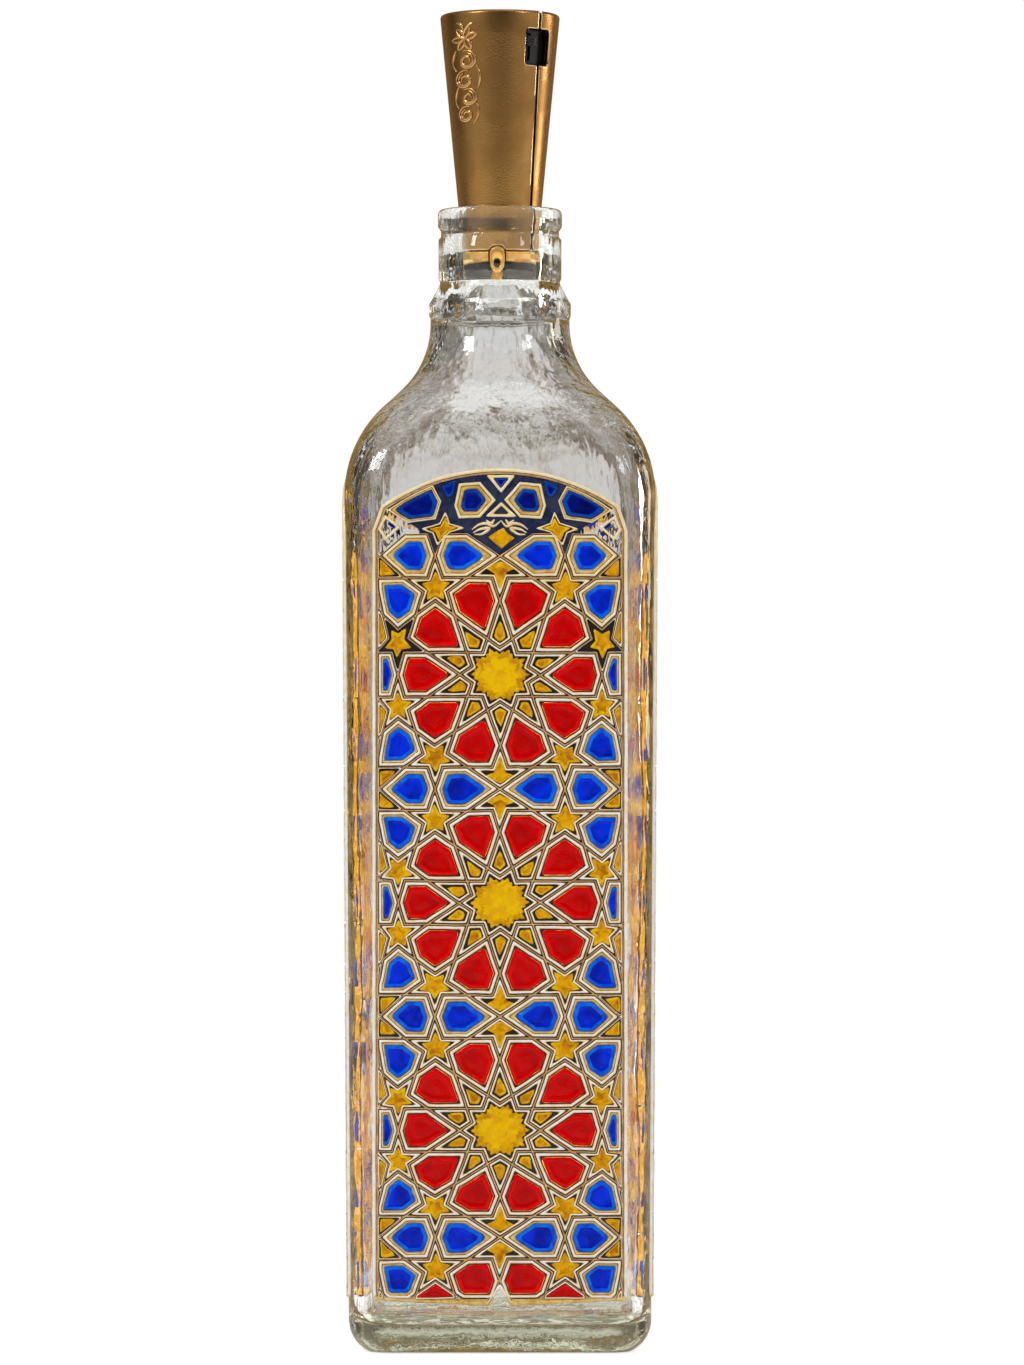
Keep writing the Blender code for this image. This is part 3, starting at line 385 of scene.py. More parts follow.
@dataclass(frozen=True)
class GlassFinish:
    """Clear, slightly wavy soda-lime glass, greener where it is thick, with a painted glow in gold and dark streaks."""

    name: str = "clear_soda_glass"
    clear: Colour = (0.905, 0.905, 0.90)
    green: Colour = (0.62, 0.65, 0.48)
    heel_height: float = 0.012
    heel_fade: float = 0.4
    lip_height: float = 0.262
    lip_fade: float = 0.01
    lip_share: float = 0.3
    roughness: float = 0.004
    refraction: float = 1.5
    wave_scale: float = 60.0
    bump: float = 0.65
    bump_distance: float = 0.0004
    # A painted glow: its strength, and the inner reflections after which it shows.
    trapped_painted_glow: float = 0.5
    trapped_after: float = 4.0
    # The painted glow's colours: gold and dark streaks that stand in for reflections of the gilt.
    painted_glow_streaks: Stops = (
        (0.38, (0.04, 0.03, 0.01)), (0.44, (0.22, 0.13, 0.03)), (0.48, (0.80, 0.48, 0.12)),
        (0.51, (0.92, 0.62, 0.20)), (0.54, (0.40, 0.22, 0.04)), (0.58, (0.05, 0.035, 0.01)),
        (0.64, (0.70, 0.50, 0.22)), (0.70, (0.12, 0.07, 0.02)),
    )

    def material(self) -> bpy.types.Material:
        """Return the glass material."""
        material, graph, shader = NodeGraph.shading(self.name)
        heel = EFFECTS.risen(graph, self.heel_height, self.heel_height * self.heel_fade)
        lip = EFFECTS.risen(graph, self.lip_height, self.lip_height + self.lip_fade)
        thick = graph.math("MAXIMUM", heel, graph.product(lip, self.lip_share))
        wave = {"Scale": self.wave_scale * 5, "Swell Scale": self.wave_scale, "Swell": 3.0, "Stretch": 0.3}
        graph.feed(shader, {
            "Base Color": graph.mix(thick, self.clear, self.green),
            "Normal": EFFECTS.normal(graph, wave, self.bump, self.bump_distance),
            "Roughness": self.roughness,
            "IOR": self.refraction,
            "Transmission Weight": 1.0,
        })
        self.paint_streaked_glow(graph, shader)
        return material

    def paint_streaked_glow(self, graph: NodeGraph, shader: bpy.types.Node) -> None:
        """Painted light: make the glass glow in gold and dark streaks where a path has reflected many times inside it.

        Args:
            graph: The material's nodes.
            shader: The material's shader, whose emission is used after many inner reflections only.
        """
        upright = graph.add("Mapping", {"Vector": graph.place(), "Scale": (1.0, 1.0, 0.16)}).outputs["Vector"]
        painted_glow_streaks = graph.ramp(graph.cloud(upright, 300.0, 3.0), self.painted_glow_streaks)
        # Painted light: emission on paths that have reflected many times inside the glass.
        depth = graph.add("LightPath").outputs["Glossy Depth"]
        trapped_painted_glow = graph.add("Math", {0: depth, 1: self.trapped_after, 2: 0.5}, operation="COMPARE").outputs[0]
        level = graph.product(trapped_painted_glow, self.trapped_painted_glow)
        graph.feed(shader, {"Emission Color": painted_glow_streaks, "Emission Strength": level})


def glass_paint(
    name: str, colour: Colour, second: Colour, roughness: float, spread: float, cloud: float, **more: object
) -> Finish:
    """Return a glossy glass paint with a soft swell and little reflection of its own."""
    return Finish(name, colour, second, 0.0, roughness, spread, cloud, swell=2.0, gloss=0.13, **more)


class Palette:
    """Every finish of the object, by its use."""

    # Near white: the gilt cord's cream colour lightened into a painted highlight on its top.
    CORD = Finish(
        "gilt_cord_painted_highlight", (1.0, 1.0, 0.97), (1.0, 0.84, 0.60), 0.0, 0.14, 0.06, 420.0,
        bump=0.35, bump_distance=0.0002, swell_scale=600.0, upper_colour=(1.0, 0.86, 0.56),
    )
    STRAP = Finish(
        "bronze_strap", (0.86, 0.52, 0.20), (0.52, 0.28, 0.10), 0.5, 0.30, 0.08, 350.0,
        bump=0.3, bump_distance=0.0002,
    )
    NAVY = Finish("navy_ground", (0.010, 0.018, 0.07), (0.025, 0.035, 0.09), 0.1, 0.3, 0.06, 300.0)
    # Near black in the trenches beside the cords and round the paint: painted shade in the gaps.
    MOAT = Finish("trench_painted_shade", (0.022, 0.009, 0.004), (0.006, 0.003, 0.002), 0.0, 0.3, 0.06, 500.0)
    BAND = Finish(
        "gold_band", (0.97, 0.69, 0.20), (0.72, 0.42, 0.08), 0.2, 0.2, 0.06, 500.0,
        bump=0.4, bump_distance=0.0003, swell_scale=500.0,
    )
    # Each paint's rim is lighter than its table, for the thinner edge and the light that passes through it: partly the
    # paint's own tint, partly painted light.
    RED_RIM = glass_paint(
        "red_paint_rim", (0.92, 0.0, 0.0), (0.66, 0.0, 0.0), 0.10, 0.03, 260.0,
        bump=0.25, bump_distance=0.0003, swell_scale=300.0,
    )
    RED_TABLE = glass_paint(
        "red_paint", (0.68, 0.0, 0.0), (0.50, 0.0, 0.0), 0.12, 0.03, 160.0,
        bump=0.2, bump_distance=0.0003, swell_scale=200.0,
    )
    BLUE_RIM = glass_paint(
        "blue_paint_rim", (0.0, 0.19, 0.98), (0.0, 0.07, 0.74), 0.10, 0.03, 260.0,
        bump=0.25, bump_distance=0.0003, swell_scale=300.0,
        upper_colour=(1.0, 0.4, 0.5), upper_from=0.2, upper_to=0.2065,
    )
    BLUE_TABLE = glass_paint(
        "blue_paint", (0.0, 0.030, 0.82), (0.0, 0.010, 0.38), 0.12, 0.03, 160.0,
        bump=0.2, bump_distance=0.0003, swell_scale=200.0,
        upper_colour=(1.0, 0.3, 0.3), upper_from=0.2, upper_to=0.2065,
    )
    YELLOW_RIM = glass_paint(
        "yellow_paint_rim", (0.98, 0.56, 0.0), (0.66, 0.27, 0.0), 0.12, 0.04, 420.0,
        bump=0.5, bump_distance=0.0004, swell_scale=500.0,
    )
    YELLOW_BRIGHT = glass_paint(
        "yellow_paint_bright", (1.0, 0.60, 0.0), (0.88, 0.42, 0.0), 0.14, 0.04, 330.0,
        bump=0.5, bump_distance=0.0004, swell_scale=360.0,
    )
    YELLOW_TABLE = glass_paint(
        "yellow_paint", (0.93, 0.43, 0.0), (0.50, 0.17, 0.0), 0.14, 0.04, 330.0,
        bump=0.5, bump_distance=0.0004, swell_scale=360.0,
    )
    # Painted light: the undersides seen through the glass glow in the gilt's and the paints' colours, for light passing
    # through them.
    GILT_UNDERSIDE_GLOW = Finish(
        "gilt_underside_painted_glow", (1.0, 0.58, 0.10), (0.50, 0.24, 0.03), 0.0, 0.4,
        cloud_scale=700.0, painted_glow=1.0,
    )
    RED_UNDERSIDE_GLOW = Finish("red_underside_painted_glow", (0.70, 0.0, 0.0), (0.45, 0.0, 0.0), 0.0, 0.4, painted_glow=0.6)
    BLUE_UNDERSIDE_GLOW = Finish("blue_underside_painted_glow", (0.0, 0.09, 0.75), (0.0, 0.02, 0.25), 0.0, 0.4, painted_glow=0.6)
    YELLOW_UNDERSIDE_GLOW = Finish("yellow_underside_painted_glow", (1.0, 0.62, 0.04), (0.80, 0.38, 0.0), 0.0, 0.4, painted_glow=0.7)
    SHELL = Finish(
        "copper_gold_satin", (0.54, 0.285, 0.082), (0.42, 0.215, 0.058), 0.92, 0.28, 0.05, 90.0,
        grain_scale=2600.0, bump=0.28, bump_distance=0.00012, swell=0.1,
        upper_colour=(0.74, 0.73, 0.76), upper_from=0.283, upper_to=0.318,
    )
    # Paler copper gold on the rounded edges of the shell and the cover: a painted highlight.
    SHELL_EDGE_HIGHLIGHT = Finish("copper_gold_edge_painted_highlight", (0.95, 0.72, 0.42), (0.85, 0.58, 0.30), 0.9, 0.22, 0.05, 300.0)
    # The shell's copper gold made paler on the scroll: a painted highlight on the embossing.
    RELIEF_HIGHLIGHTED = Finish("copper_gold_relief_painted_highlight", (0.78, 0.46, 0.17), (0.60, 0.33, 0.11), 0.95, 0.24, 0.05, 300.0)
    # Bright gold with a painted glow: the plug's ring, the wire's gland and the lamp's holder shine as if lit.
    GOLD = Finish(
        "bright_gold_plate_painted_glow", (1.0, 0.68, 0.24), (0.95, 0.50, 0.12), 1.0, 0.2, 0.05, 260.0,
        painted_glow=0.4, bump=0.1, bump_distance=0.0001,
    )
    DARK_BAND = Finish("dark_moulding", (0.030, 0.018, 0.012), (0.05, 0.03, 0.02), 0.0, 0.38, 0.06, 260.0)
    BLACK = Finish(
        "black_gloss", (0.004, 0.004, 0.004), (0.008, 0.007, 0.006), 0.0, 0.12, 0.05, 300.0,
        swell=2.0, bump=0.3, bump_distance=0.0002, swell_scale=260.0, coat=0.25, gloss=0.3,
    )
    LAMP = Finish(
        "lamp_lens_dark", (0.012, 0.010, 0.008), (0.05, 0.03, 0.015), 0.0, 0.05, 0.02, 500.0,
        bump=0.1, coat=1.0,
    )
    STEEL = Finish(
        "nickel_steel", (0.62, 0.60, 0.56), (0.50, 0.48, 0.44), 1.0, 0.26, 0.08, 300.0,
        bump=0.2, bump_distance=0.0001,
    )
    TRAY = Finish("natural_moulding", (0.72, 0.70, 0.64), (0.64, 0.61, 0.54), 0.0, 0.45, 0.06, 160.0)
    BOARD = Finish("green_board", (0.012, 0.12, 0.045), (0.02, 0.18, 0.07), 0.0, 0.35, 0.08, 900.0, coat=0.4)


@dataclass
class Workshop:
    """Makes objects from points and faces, and hangs them on their bodies."""

    placed: list[str] = field(default_factory=list)
    sharp_from: float = math.radians(38)
    sharp_left: float = math.radians(42)

    def piece(
        self,
        name: str,
        points: Sequence[Point],
        faces: Sequence[Sequence[int]],
        finishes: Sequence[Finish],
        indices: Optional[Sequence[int]] = None,
        smooth_degrees: float = 40.0,
    ) -> bpy.types.Object:
        """Make one object.

        Args:
            name: The object's name.
            points: The mesh's points, in metres.
            faces: The mesh's faces.
            finishes: The finishes of the object's material slots.
            indices: The slot of each face.
            smooth_degrees: Edges that turn more than this stay sharp.

        Returns:
            The new object.
        """
        mesh = bpy.data.meshes.new(name)
        mesh.from_pydata(points, [], faces)
        mesh.shade_smooth()
        mesh.set_sharp_from_angle(angle=math.radians(smooth_degrees))
        item = linked(name, mesh)
        self.dress(item, finishes)
        if indices is not None:
            mesh.polygons.foreach_set("material_index", np.asarray(indices, dtype=np.int32))
        return item

    def dress(self, item: bpy.types.Object, finishes: Sequence[Finish]) -> None:
        """Give an object's mesh the finishes' materials in order."""
        item.data.materials.clear()
        for finish in finishes:
            item.data.materials.append(finish.material())

    def redress(self, node: str, finish: Finish) -> None:
        """Give a carried-over node a better material in each of its slots."""
        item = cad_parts[node]
        for place in item.material_slots:
            place.link = "OBJECT"
            place.material = finish.material()
        LOG.info("kept %s with %s", node, finish.name)

    def hand_over(self, item: bpy.types.Object, body: Body, slot: Slot, *nodes: str) -> None:
        """Let a piece ride on its body and hide the nodes that it stands for."""
        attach(item, body.value)
        if nodes:
            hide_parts(*nodes)
        self.placed.append(item.name)
        LOG.info("placed %s on %s", item.name, body.value)

    def settled(self, item: bpy.types.Object, *helpers: bpy.types.Object) -> None:
        """Apply an object's modifiers to its mesh and remove the helpers that they used."""
        bpy.context.view_layer.update()
        graph = bpy.context.evaluated_depsgraph_get()
        mesh = bpy.data.meshes.new_from_object(item.evaluated_get(graph))
        item.modifiers.clear()
        item.data = mesh
        for helper in helpers:
            bpy.data.objects.remove(helper, do_unlink=True)

    def carve(self, item: bpy.types.Object, cutters: Sequence[bpy.types.Object]) -> None:
        """Take cutters away from an object."""
        for cutter in cutters:
            modifier = item.modifiers.new("carve", "BOOLEAN")
            modifier.operation = "DIFFERENCE"
            modifier.solver = "EXACT"
            modifier.material_mode = "TRANSFER"
            modifier.object = cutter
        self.settled(item, *cutters)

    def soften(self, item: bpy.types.Object, width: float, slot: int = -1) -> None:
        """Round an object's sharp edges, with a slot of their own where one is given."""
        modifier = item.modifiers.new("soften", "BEVEL")
        modifier.width = width
        modifier.segments = 3
        modifier.limit_method = "ANGLE"
        modifier.angle_limit = self.sharp_from
        modifier.use_clamp_overlap = False
        modifier.material = slot
        self.settled(item)
        item.data.shade_smooth()
        item.data.set_sharp_from_angle(angle=self.sharp_left)

    def capped(self, item: bpy.types.Object, height: float) -> None:
        """Bring down whatever a rounded edge lifts above a height."""
        for vertex in item.data.vertices:
            vertex.co.z = min(vertex.co.z, height)


class Loft:
    """Collects rings of points and the faces between them."""

    def __init__(self) -> None:
        """Start with nothing."""
        self.points: list[Point] = []
        self.faces: list[tuple[int, ...]] = []
        self.slots: list[int] = []

    def ring(self, points: Iterable[Sequence[float]]) -> range:
        """Add a ring of points and return their numbers."""
        start = len(self.points)
        self.points.extend((float(x), float(y), float(z)) for x, y, z in points)
        return range(start, len(self.points))

    def face(self, numbers: Iterable[int], slot: int = 0) -> None:
        """Add one face."""
        self.faces.append(tuple(numbers))
        self.slots.append(slot)

    def band(self, first: range, second: range, slot: int = 0) -> None:
        """Join two rings with a band of faces."""
        count = len(first)
        for i in range(count):
            j = (i + 1) % count
            self.face((first[i], first[j], second[j], second[i]), slot)

    def fan(self, ring: range, apex: Sequence[float], slot: int = 0, flip: bool = False) -> None:
        """Close a ring with triangles to one point."""
        tip = self.ring([apex])[0]
        count = len(ring)
        for i in range(count):
            j = (i + 1) % count
            self.face((ring[j], ring[i], tip) if flip else (ring[i], ring[j], tip), slot)

    def stack(self, rings: Iterable[tuple[Iterable[Point], int]]) -> list[range]:
        """Join rings in order, each to the one before it in the slot that it comes with."""
        numbers: list[range] = []
        for points, slot in rings:
            numbers.append(self.ring(points))
            if len(numbers) > 1:
                self.band(numbers[-2], numbers[-1], slot)
        return numbers

    def rings(self, rings: Sequence[Sequence[Point]], closed: bool = False) -> list[range]:
        """Join rings in order, and the last to the first when closed."""
        numbers = self.stack((ring, 0) for ring in rings)
        if closed:
            self.band(numbers[-1], numbers[0])
        return numbers

    def sheet(self, rows: Iterable[Iterable[Point]], slot: int = 0, flip: bool = False) -> None:
        """Join open rows of points into a sheet."""
        numbers = [self.ring(row) for row in rows]
        for first, second in zip(numbers, numbers[1:]):
            for a, b, c, d in zip(first, first[1:], second[1:], second):
                self.face((a, d, c, b) if flip else (a, b, c, d), slot)


@dataclass
class GlassBottle:
    """The square bottle, its shoulder and its neck."""

    width_base: float = 0.0756
    width_top: float = 0.0776
    height: float = 0.2130
    corner: float = 0.0100
    heel: float = 0.0080
    heel_turn: float = math.radians(68)
    wall: float = 0.0036
    floor: float = 0.0070
    floor_fillet: float = 0.0040
    floor_sag: float = 0.0003
    rim: float = 0.0055
    push_up: float = 0.0030
    push_shares: tuple[Pair, ...] = ((0.25, 1.0), (0.5, 0.97), (0.7, 0.82), (0.86, 0.5), (0.95, 0.16), (1.0, 0.0))
    shoulder: float = 0.0325
    shoulder_turn: float = math.radians(45)
    neck_root: float = 0.01765
    neck_fillet: float = 0.0250
    # Radius and height above the neck's root, in millimetres.
    neck: tuple[Pair, ...] = (
        (17.65, 0.0), (17.65, 0.9), (18.0, 1.8), (18.0, 4.7), (17.5, 5.5), (16.4, 7.6), (15.4, 9.6),
        (15.25, 9.9), (15.25, 10.5), (15.6, 11.1), (15.6, 21.1), (15.1, 21.6), (15.0, 22.0),
        (15.0, 23.2), (15.3, 23.7), (15.75, 24.4), (15.75, 27.4),
    )
    bead: float = 0.01575
    bore: float = 0.010816
    bore_round: float = 0.0005
    bore_end: float = 0.0045
    lip: float = 0.28667
    lip_round: float = 0.0012
    around: int = 160
    ripple: float = 0.00036

    def root_height(self) -> float:
        """Return the height at which the shoulder has become the round neck."""
        turn = 1 - math.cos(self.shoulder_turn)
        run = self.width_top / 2 - self.neck_root - (self.shoulder + self.neck_fillet) * turn
        arcs = (self.shoulder + self.neck_fillet) * math.sin(self.shoulder_turn)
        return self.height + arcs + run / math.tan(self.shoulder_turn)

    def half(self, z: float) -> float:
        """Return the half width of the glass at a height up to the shoulder's fillet."""
        if z <= self.height:
            share = (z - self.heel) / (self.height - self.heel)
            return (self.width_base + (self.width_top - self.width_base) * share) / 2
        rise = min((z - self.height) / self.shoulder, math.sin(self.shoulder_turn))
        return self.width_top / 2 - self.shoulder * (1 - math.sqrt(1 - rise * rise))

    def front(self, x: float, z: float) -> float:
        """Return how far the front of the glass is from the axis."""
        half = self.half(z)
        flat = half - self.corner if z <= self.height else self.shoulder_flat(half)
        past = max(abs(x) - flat, 0.0)
        corner = half - flat
        return flat + math.sqrt(max(corner * corner - past * past, 0.0))

    def shoulder_flat(self, half: float) -> float:
        """Return half the width of the flat for a level of the shoulder."""
        body = self.width_top / 2
        share = min(max((body - half) / (body - self.neck_root), 0.0), 1.0)
        return (body - self.corner) * (1 - share)

    def section(self, half: float, flat: float, z: float, sway: float = 0.0) -> list[Point]:
        """Return one level ring, a square with rounded corners, seen from the axis.

        Args:
            half: Half the width across the flats.
            flat: Half the width of each flat.
            z: The ring's height.
            sway: How far a slow ripple moves the ring's points in and out.

        Returns:
            The ring's points.
        """
        quarter = self.around // 4
        corner = half - flat
        ring = []
        for i in range(self.around):
            side, step = divmod(i, quarter)
            t = 2 * step / quarter - 1
            angle = math.radians(45) * (1.25 * t - 0.25 * t**3)
            slope = math.tan(abs(angle))
            if half * slope <= flat:
                reach, across = half, half * slope
            else:
                # The ray from the axis meets the corner's circle.
                cosine, sine = math.cos(abs(angle)), math.sin(abs(angle))
                middle = flat * (cosine + sine)
                distance = middle + math.sqrt(max(corner * corner - 2 * flat * flat + middle * middle, 0.0))
                reach, across = distance * cosine, distance * sine
            across = math.copysign(across, angle)
            base = Matrix.Rotation(QUARTER * side, 2) @ Vector((reach, across))
            if sway:
                place = Vector((base.x * 55, base.y * 55, z * 38))
                swing = sway * noise.noise(place) + sway * 0.35 * noise.noise(place * 2.7)
                base *= 1 + swing / half
            ring.append((base.x, base.y, z))
        return ring

    def shoulder_levels(self, inset: float, steps: int = 22) -> list[Point]:
        """Return (outer half width, inset, height) up the shoulder, set in by a wall."""
        levels = []
        arc_centre = self.width_top / 2 - self.shoulder
        for i in range(steps + 1):
            angle = self.shoulder_turn * i / steps
            outer = arc_centre + self.shoulder * math.cos(angle)
            z = self.height + (self.shoulder - inset) * math.sin(angle)
            levels.append((outer, inset * math.cos(angle), z))
        fillet_centre = self.neck_root + self.neck_fillet
        root = self.root_height()
        for i in range(steps + 1):
            angle = self.shoulder_turn * (1 - i / steps)
            outer = fillet_centre - self.neck_fillet * math.cos(angle)
            z = root - (self.neck_fillet + inset) * math.sin(angle)
            levels.append((outer, inset * math.cos(angle), z))
        return levels

    def neck_profile(self) -> list[Pair]:
        """Return (radius, height) pairs up the neck, with every edge rounded."""
        root = self.root_height()
        profile = [(radius * MM, root + height * MM) for radius, height in self.neck]
        steps = 6
        for i in range(1, steps + 1):
            angle = QUARTER * i / steps
            radius = self.bead - self.lip_round * (1 - math.cos(angle))
            profile.append((radius, self.lip - self.lip_round * (1 - math.sin(angle))))
        return profile

    def outer_rings(self) -> list[list[Point]]:
        """Return the rings from the push-up round the heel and up the outside to the lip."""
        heel_half = self.half(self.heel)
        rim_half = heel_half - self.heel * (1 - math.cos(self.heel_turn))
        inner = rim_half - self.rim
        rings = []
        for share, rise in self.push_shares:
            half = inner * share
            corner = (self.corner - (heel_half - rim_half)) * share
            rings.append(self.section(half, half - corner, self.push_up * rise))
        lift = self.heel * (1 - math.sin(self.heel_turn))
        steps = 12
        for i in range(steps + 1):
            angle = self.heel_turn * (1 - i / steps)
            half = heel_half - self.heel * (1 - math.cos(angle))
            z = self.heel * (1 - math.sin(angle)) - lift * (1 - i / steps)
            rings.append(self.section(half, heel_half - self.corner, z))
        steps = 28
        for i in range(1, steps):
            z = self.heel + (self.height - self.heel) * i / steps
            rings.append(self.section(self.half(z), self.half(z) - self.corner, z))
        for outer, _, z in self.shoulder_levels(0.0):
            rings.append(self.section(outer, self.shoulder_flat(outer), z))
        return rings + [self.section(radius, 0.0, z) for radius, z in self.neck_profile()]

    def inner_rings(self) -> list[list[Point]]:
        """Return the rings from the mouth down the bore and the inside to the foot of the floor's fillet."""
        top, end = self.lip - self.bore_round, self.root_height() + self.bore_end
        rings = [self.section(self.bore + 0.0006, 0.0, self.lip), self.section(self.bore + 0.0001, 0.0, top)]
        steps = 8
        for i in range(1, steps + 1):
            rings.append(self.section(self.bore, 0.0, top + (end - top) * i / steps, self.ripple * 0.2))
        for outer, inset, z in reversed(self.shoulder_levels(self.wall)):
            rings.append(self.section(outer - inset, self.shoulder_flat(outer), z, self.ripple))
        low = self.floor + self.floor_fillet
        steps = 44
        for i in range(1, steps):
            z = self.height + (low - self.height) * i / steps
            half = self.half(z) - self.wall
            rings.append(self.section(half, half - self.corner + self.wall, z, self.ripple))
        floor_half = self.half(low) - self.wall
        flat = max(floor_half - self.corner + self.wall, 0.0)
        steps = 8
        for i in range(steps + 1):
            angle = QUARTER * i / steps
            half = floor_half - self.floor_fillet * (1 - math.cos(angle))
            z = self.floor + self.floor_fillet * (1 - math.sin(angle))
            rings.append(self.section(half, flat, z, self.ripple * 0.5))
        return rings

    def build(self, shop: Workshop) -> None:
        """Make the glass as one closed body with rippled inner walls."""
        loft = Loft()
        numbers = loft.rings(self.outer_rings() + self.inner_rings())
        loft.fan(numbers[0], (0, 0, self.push_up * 1.02), flip=True)
        half = self.half(self.floor + self.floor_fillet) - self.wall - self.floor_fillet
        last = numbers[-1]
        for share in (0.75, 0.5, 0.25):
            z = self.floor - self.floor_sag * (1 - share)
            ring = loft.ring(self.section(half * share, half * share * 0.8, z))
            loft.band(last, ring)
            last = ring
        loft.fan(last, (0, 0, self.floor - self.floor_sag))
        item = shop.piece("glass_body", loft.points, loft.faces, [GlassFinish()], smooth_degrees=50)
        shop.hand_over(item, Body.BOTTLE, Slot.GLASS, "glass_bottle")


@dataclass
class Cell:
    """One cell of the pattern, with its outline in millimetres."""

    outline: list[Pair]
    paint: Paint
    form: Form
    drop: Optional[list[Pair]] = None
    island: bool = False


def polar(radius: float, degrees: float, centre: Pair = (0.0, 0.0)) -> Pair:
    """Return a point at a distance and a bearing from a centre."""
    angle = math.radians(degrees)
    return centre[0] + radius * math.cos(angle), centre[1] + radius * math.sin(angle)


@dataclass
class StarLattice:
    """Ten-fold star pattern of one panel, as straight-sided cells."""

    spacing: float = 56.4
    point_radius: float = 9.17
    notch_radius: float = 6.66
    cross_radius: float = 17.44
    petal_points: tuple[Pair, ...] = ((16.58, -5.39), (22.25, -5.39), (24.0, 0.0), (22.25, 5.39), (16.58, 5.39))
    bow_points: tuple[Pair, ...] = ((7.41, -5.39), (13.08, -5.39), (14.83, 0.0), (13.08, 5.39), (7.41, 5.39))
    arrow_points: tuple[Pair, ...] = (
        (0.0, 0.0), (7.41, 5.39), (1.75, 5.39), (0.0, 10.76), (-1.75, 5.39), (-7.41, 5.39),
    )
    arrow_drop: tuple[Pair, ...] = (
        (0.0, 1.35), (3.5, 3.15), (1.25, 4.1), (1.0, 6.0), (0.1, 8.2), (-0.9, 6.1), (-1.35, 4.2), (-3.4, 3.0),
    )
    # Distance and bearing of the round drop's points, after each of its ten tips.
    rosette_drop: tuple[Pair, ...] = ((5.75, 7), (6.1, 12), (5.0, 18), (6.0, 25), (5.7, 30))
    star_centres: tuple[float, ...] = (18, 54, 126, 162, 198, 234, 306, 342)
    star_distance: float = 25.24
    star_tip: float = 7.80
    star_notch: float = 2.98
    column: float = 38.8
    centre_rows: tuple[float, ...] = (168.4, 112.0, 55.6, -0.8)
    side_rows: tuple[float, ...] = (196.6, 140.2, 83.8, 27.4)
    crown_from: float = 199.2
    foot_notch: tuple[float, float] = (5.0, 14.0)
    stretch_from: float = 28.2
    stretch_top: float = 1.35
    stretch_foot: float = 1.7

    def warped(self, point: Pair) -> Pair:
        """Return where the painter's hand put a point of the ideal pattern."""
        x, z = point
        x *= 1 + 0.09 * (1 - (x / 30) ** 4)
        up = min(max((z - self.centre_rows[0]) / self.stretch_from, 0.0), 1.0)
        down = min(max((self.centre_rows[2] - z) / self.stretch_from, 0.0), 1.0)
        z += self.stretch_top * up * up * (3 - 2 * up) + self.stretch_foot * down * down * (3 - 2 * down)
        return x, z

    def petal(self, centre: Pair, turn: float, paint: Paint) -> Cell:
        """Return one petal of a rosette."""
        outline = [polar(self.point_radius, turn, centre)]
        for x, y in self.petal_points:
            outline.append(polar(math.hypot(x, y), turn + math.degrees(math.atan2(y, x)), centre))
        return Cell(outline, paint, Form.PETAL)

    def kite(self, centre: Pair, turn: float) -> Cell:
        """Return the small kite between two petals."""
        outline = [
            polar(self.notch_radius, turn, centre),
            polar(self.point_radius, turn - 18, centre),
            polar(self.cross_radius, turn, centre),
            polar(self.point_radius, turn + 18, centre),
        ]
        return Cell(outline, Paint.YELLOW, Form.KITE)

    def rosette(self, centre: Pair, paint: Paint) -> list[Cell]:
        """Return the star, the kites and the petals round one centre."""
        star, drop = [], []
        for k in range(10):
            star += [polar(self.point_radius, 36 * k, centre), polar(self.notch_radius, 36 * k + 18, centre)]
            drop.append(polar(7.0 + 0.3 * math.sin(k * 2.3), 36 * k, centre))
            drop += [polar(distance, 36 * k + bearing, centre) for distance, bearing in self.rosette_drop]
        cells = [Cell(star, Paint.YELLOW, Form.ROSETTE, drop)]
        for k in range(10):
            cells.append(self.kite(centre, 36 * k + 18))
            cells.append(self.petal(centre, 36 * k, paint))
        return cells

    def star(self, centre: Pair, towards: float) -> Cell:
        """Return a five-pointed cell with one tip towards a bearing, and its fatter drop."""
        outline, drop = [], []
        for k in range(5):
            tip = towards + 72 * k
            outline += [polar(self.star_tip, tip, centre), polar(self.star_notch, tip + 36, centre)]
            drop += [polar(3.85 + 0.35 * math.sin(k * 2.1 + centre[0]), tip, centre)]
            drop += [polar(2.0, tip + 36, centre)]
        return Cell(outline, Paint.YELLOW, Form.STAR, drop)

    def bow(self, centre: Pair) -> list[Cell]:
        """Return the two petals that meet at a crossing and the arrows above and below it."""
        cells = []
        for way in (1, -1):
            outline = [centre] + [(centre[0] + way * x, centre[1] + y) for x, y in self.bow_points]
            cells.append(Cell(outline, Paint.BLUE, Form.PETAL))
        for way in (1, -1):
            outline = [(centre[0] + x, centre[1] + way * y) for x, y in self.arrow_points]
            drop = [(centre[0] + x, centre[1] + way * y) for x, y in self.arrow_drop]
            cells.append(Cell(outline, Paint.YELLOW, Form.ARROW, drop))
        return cells

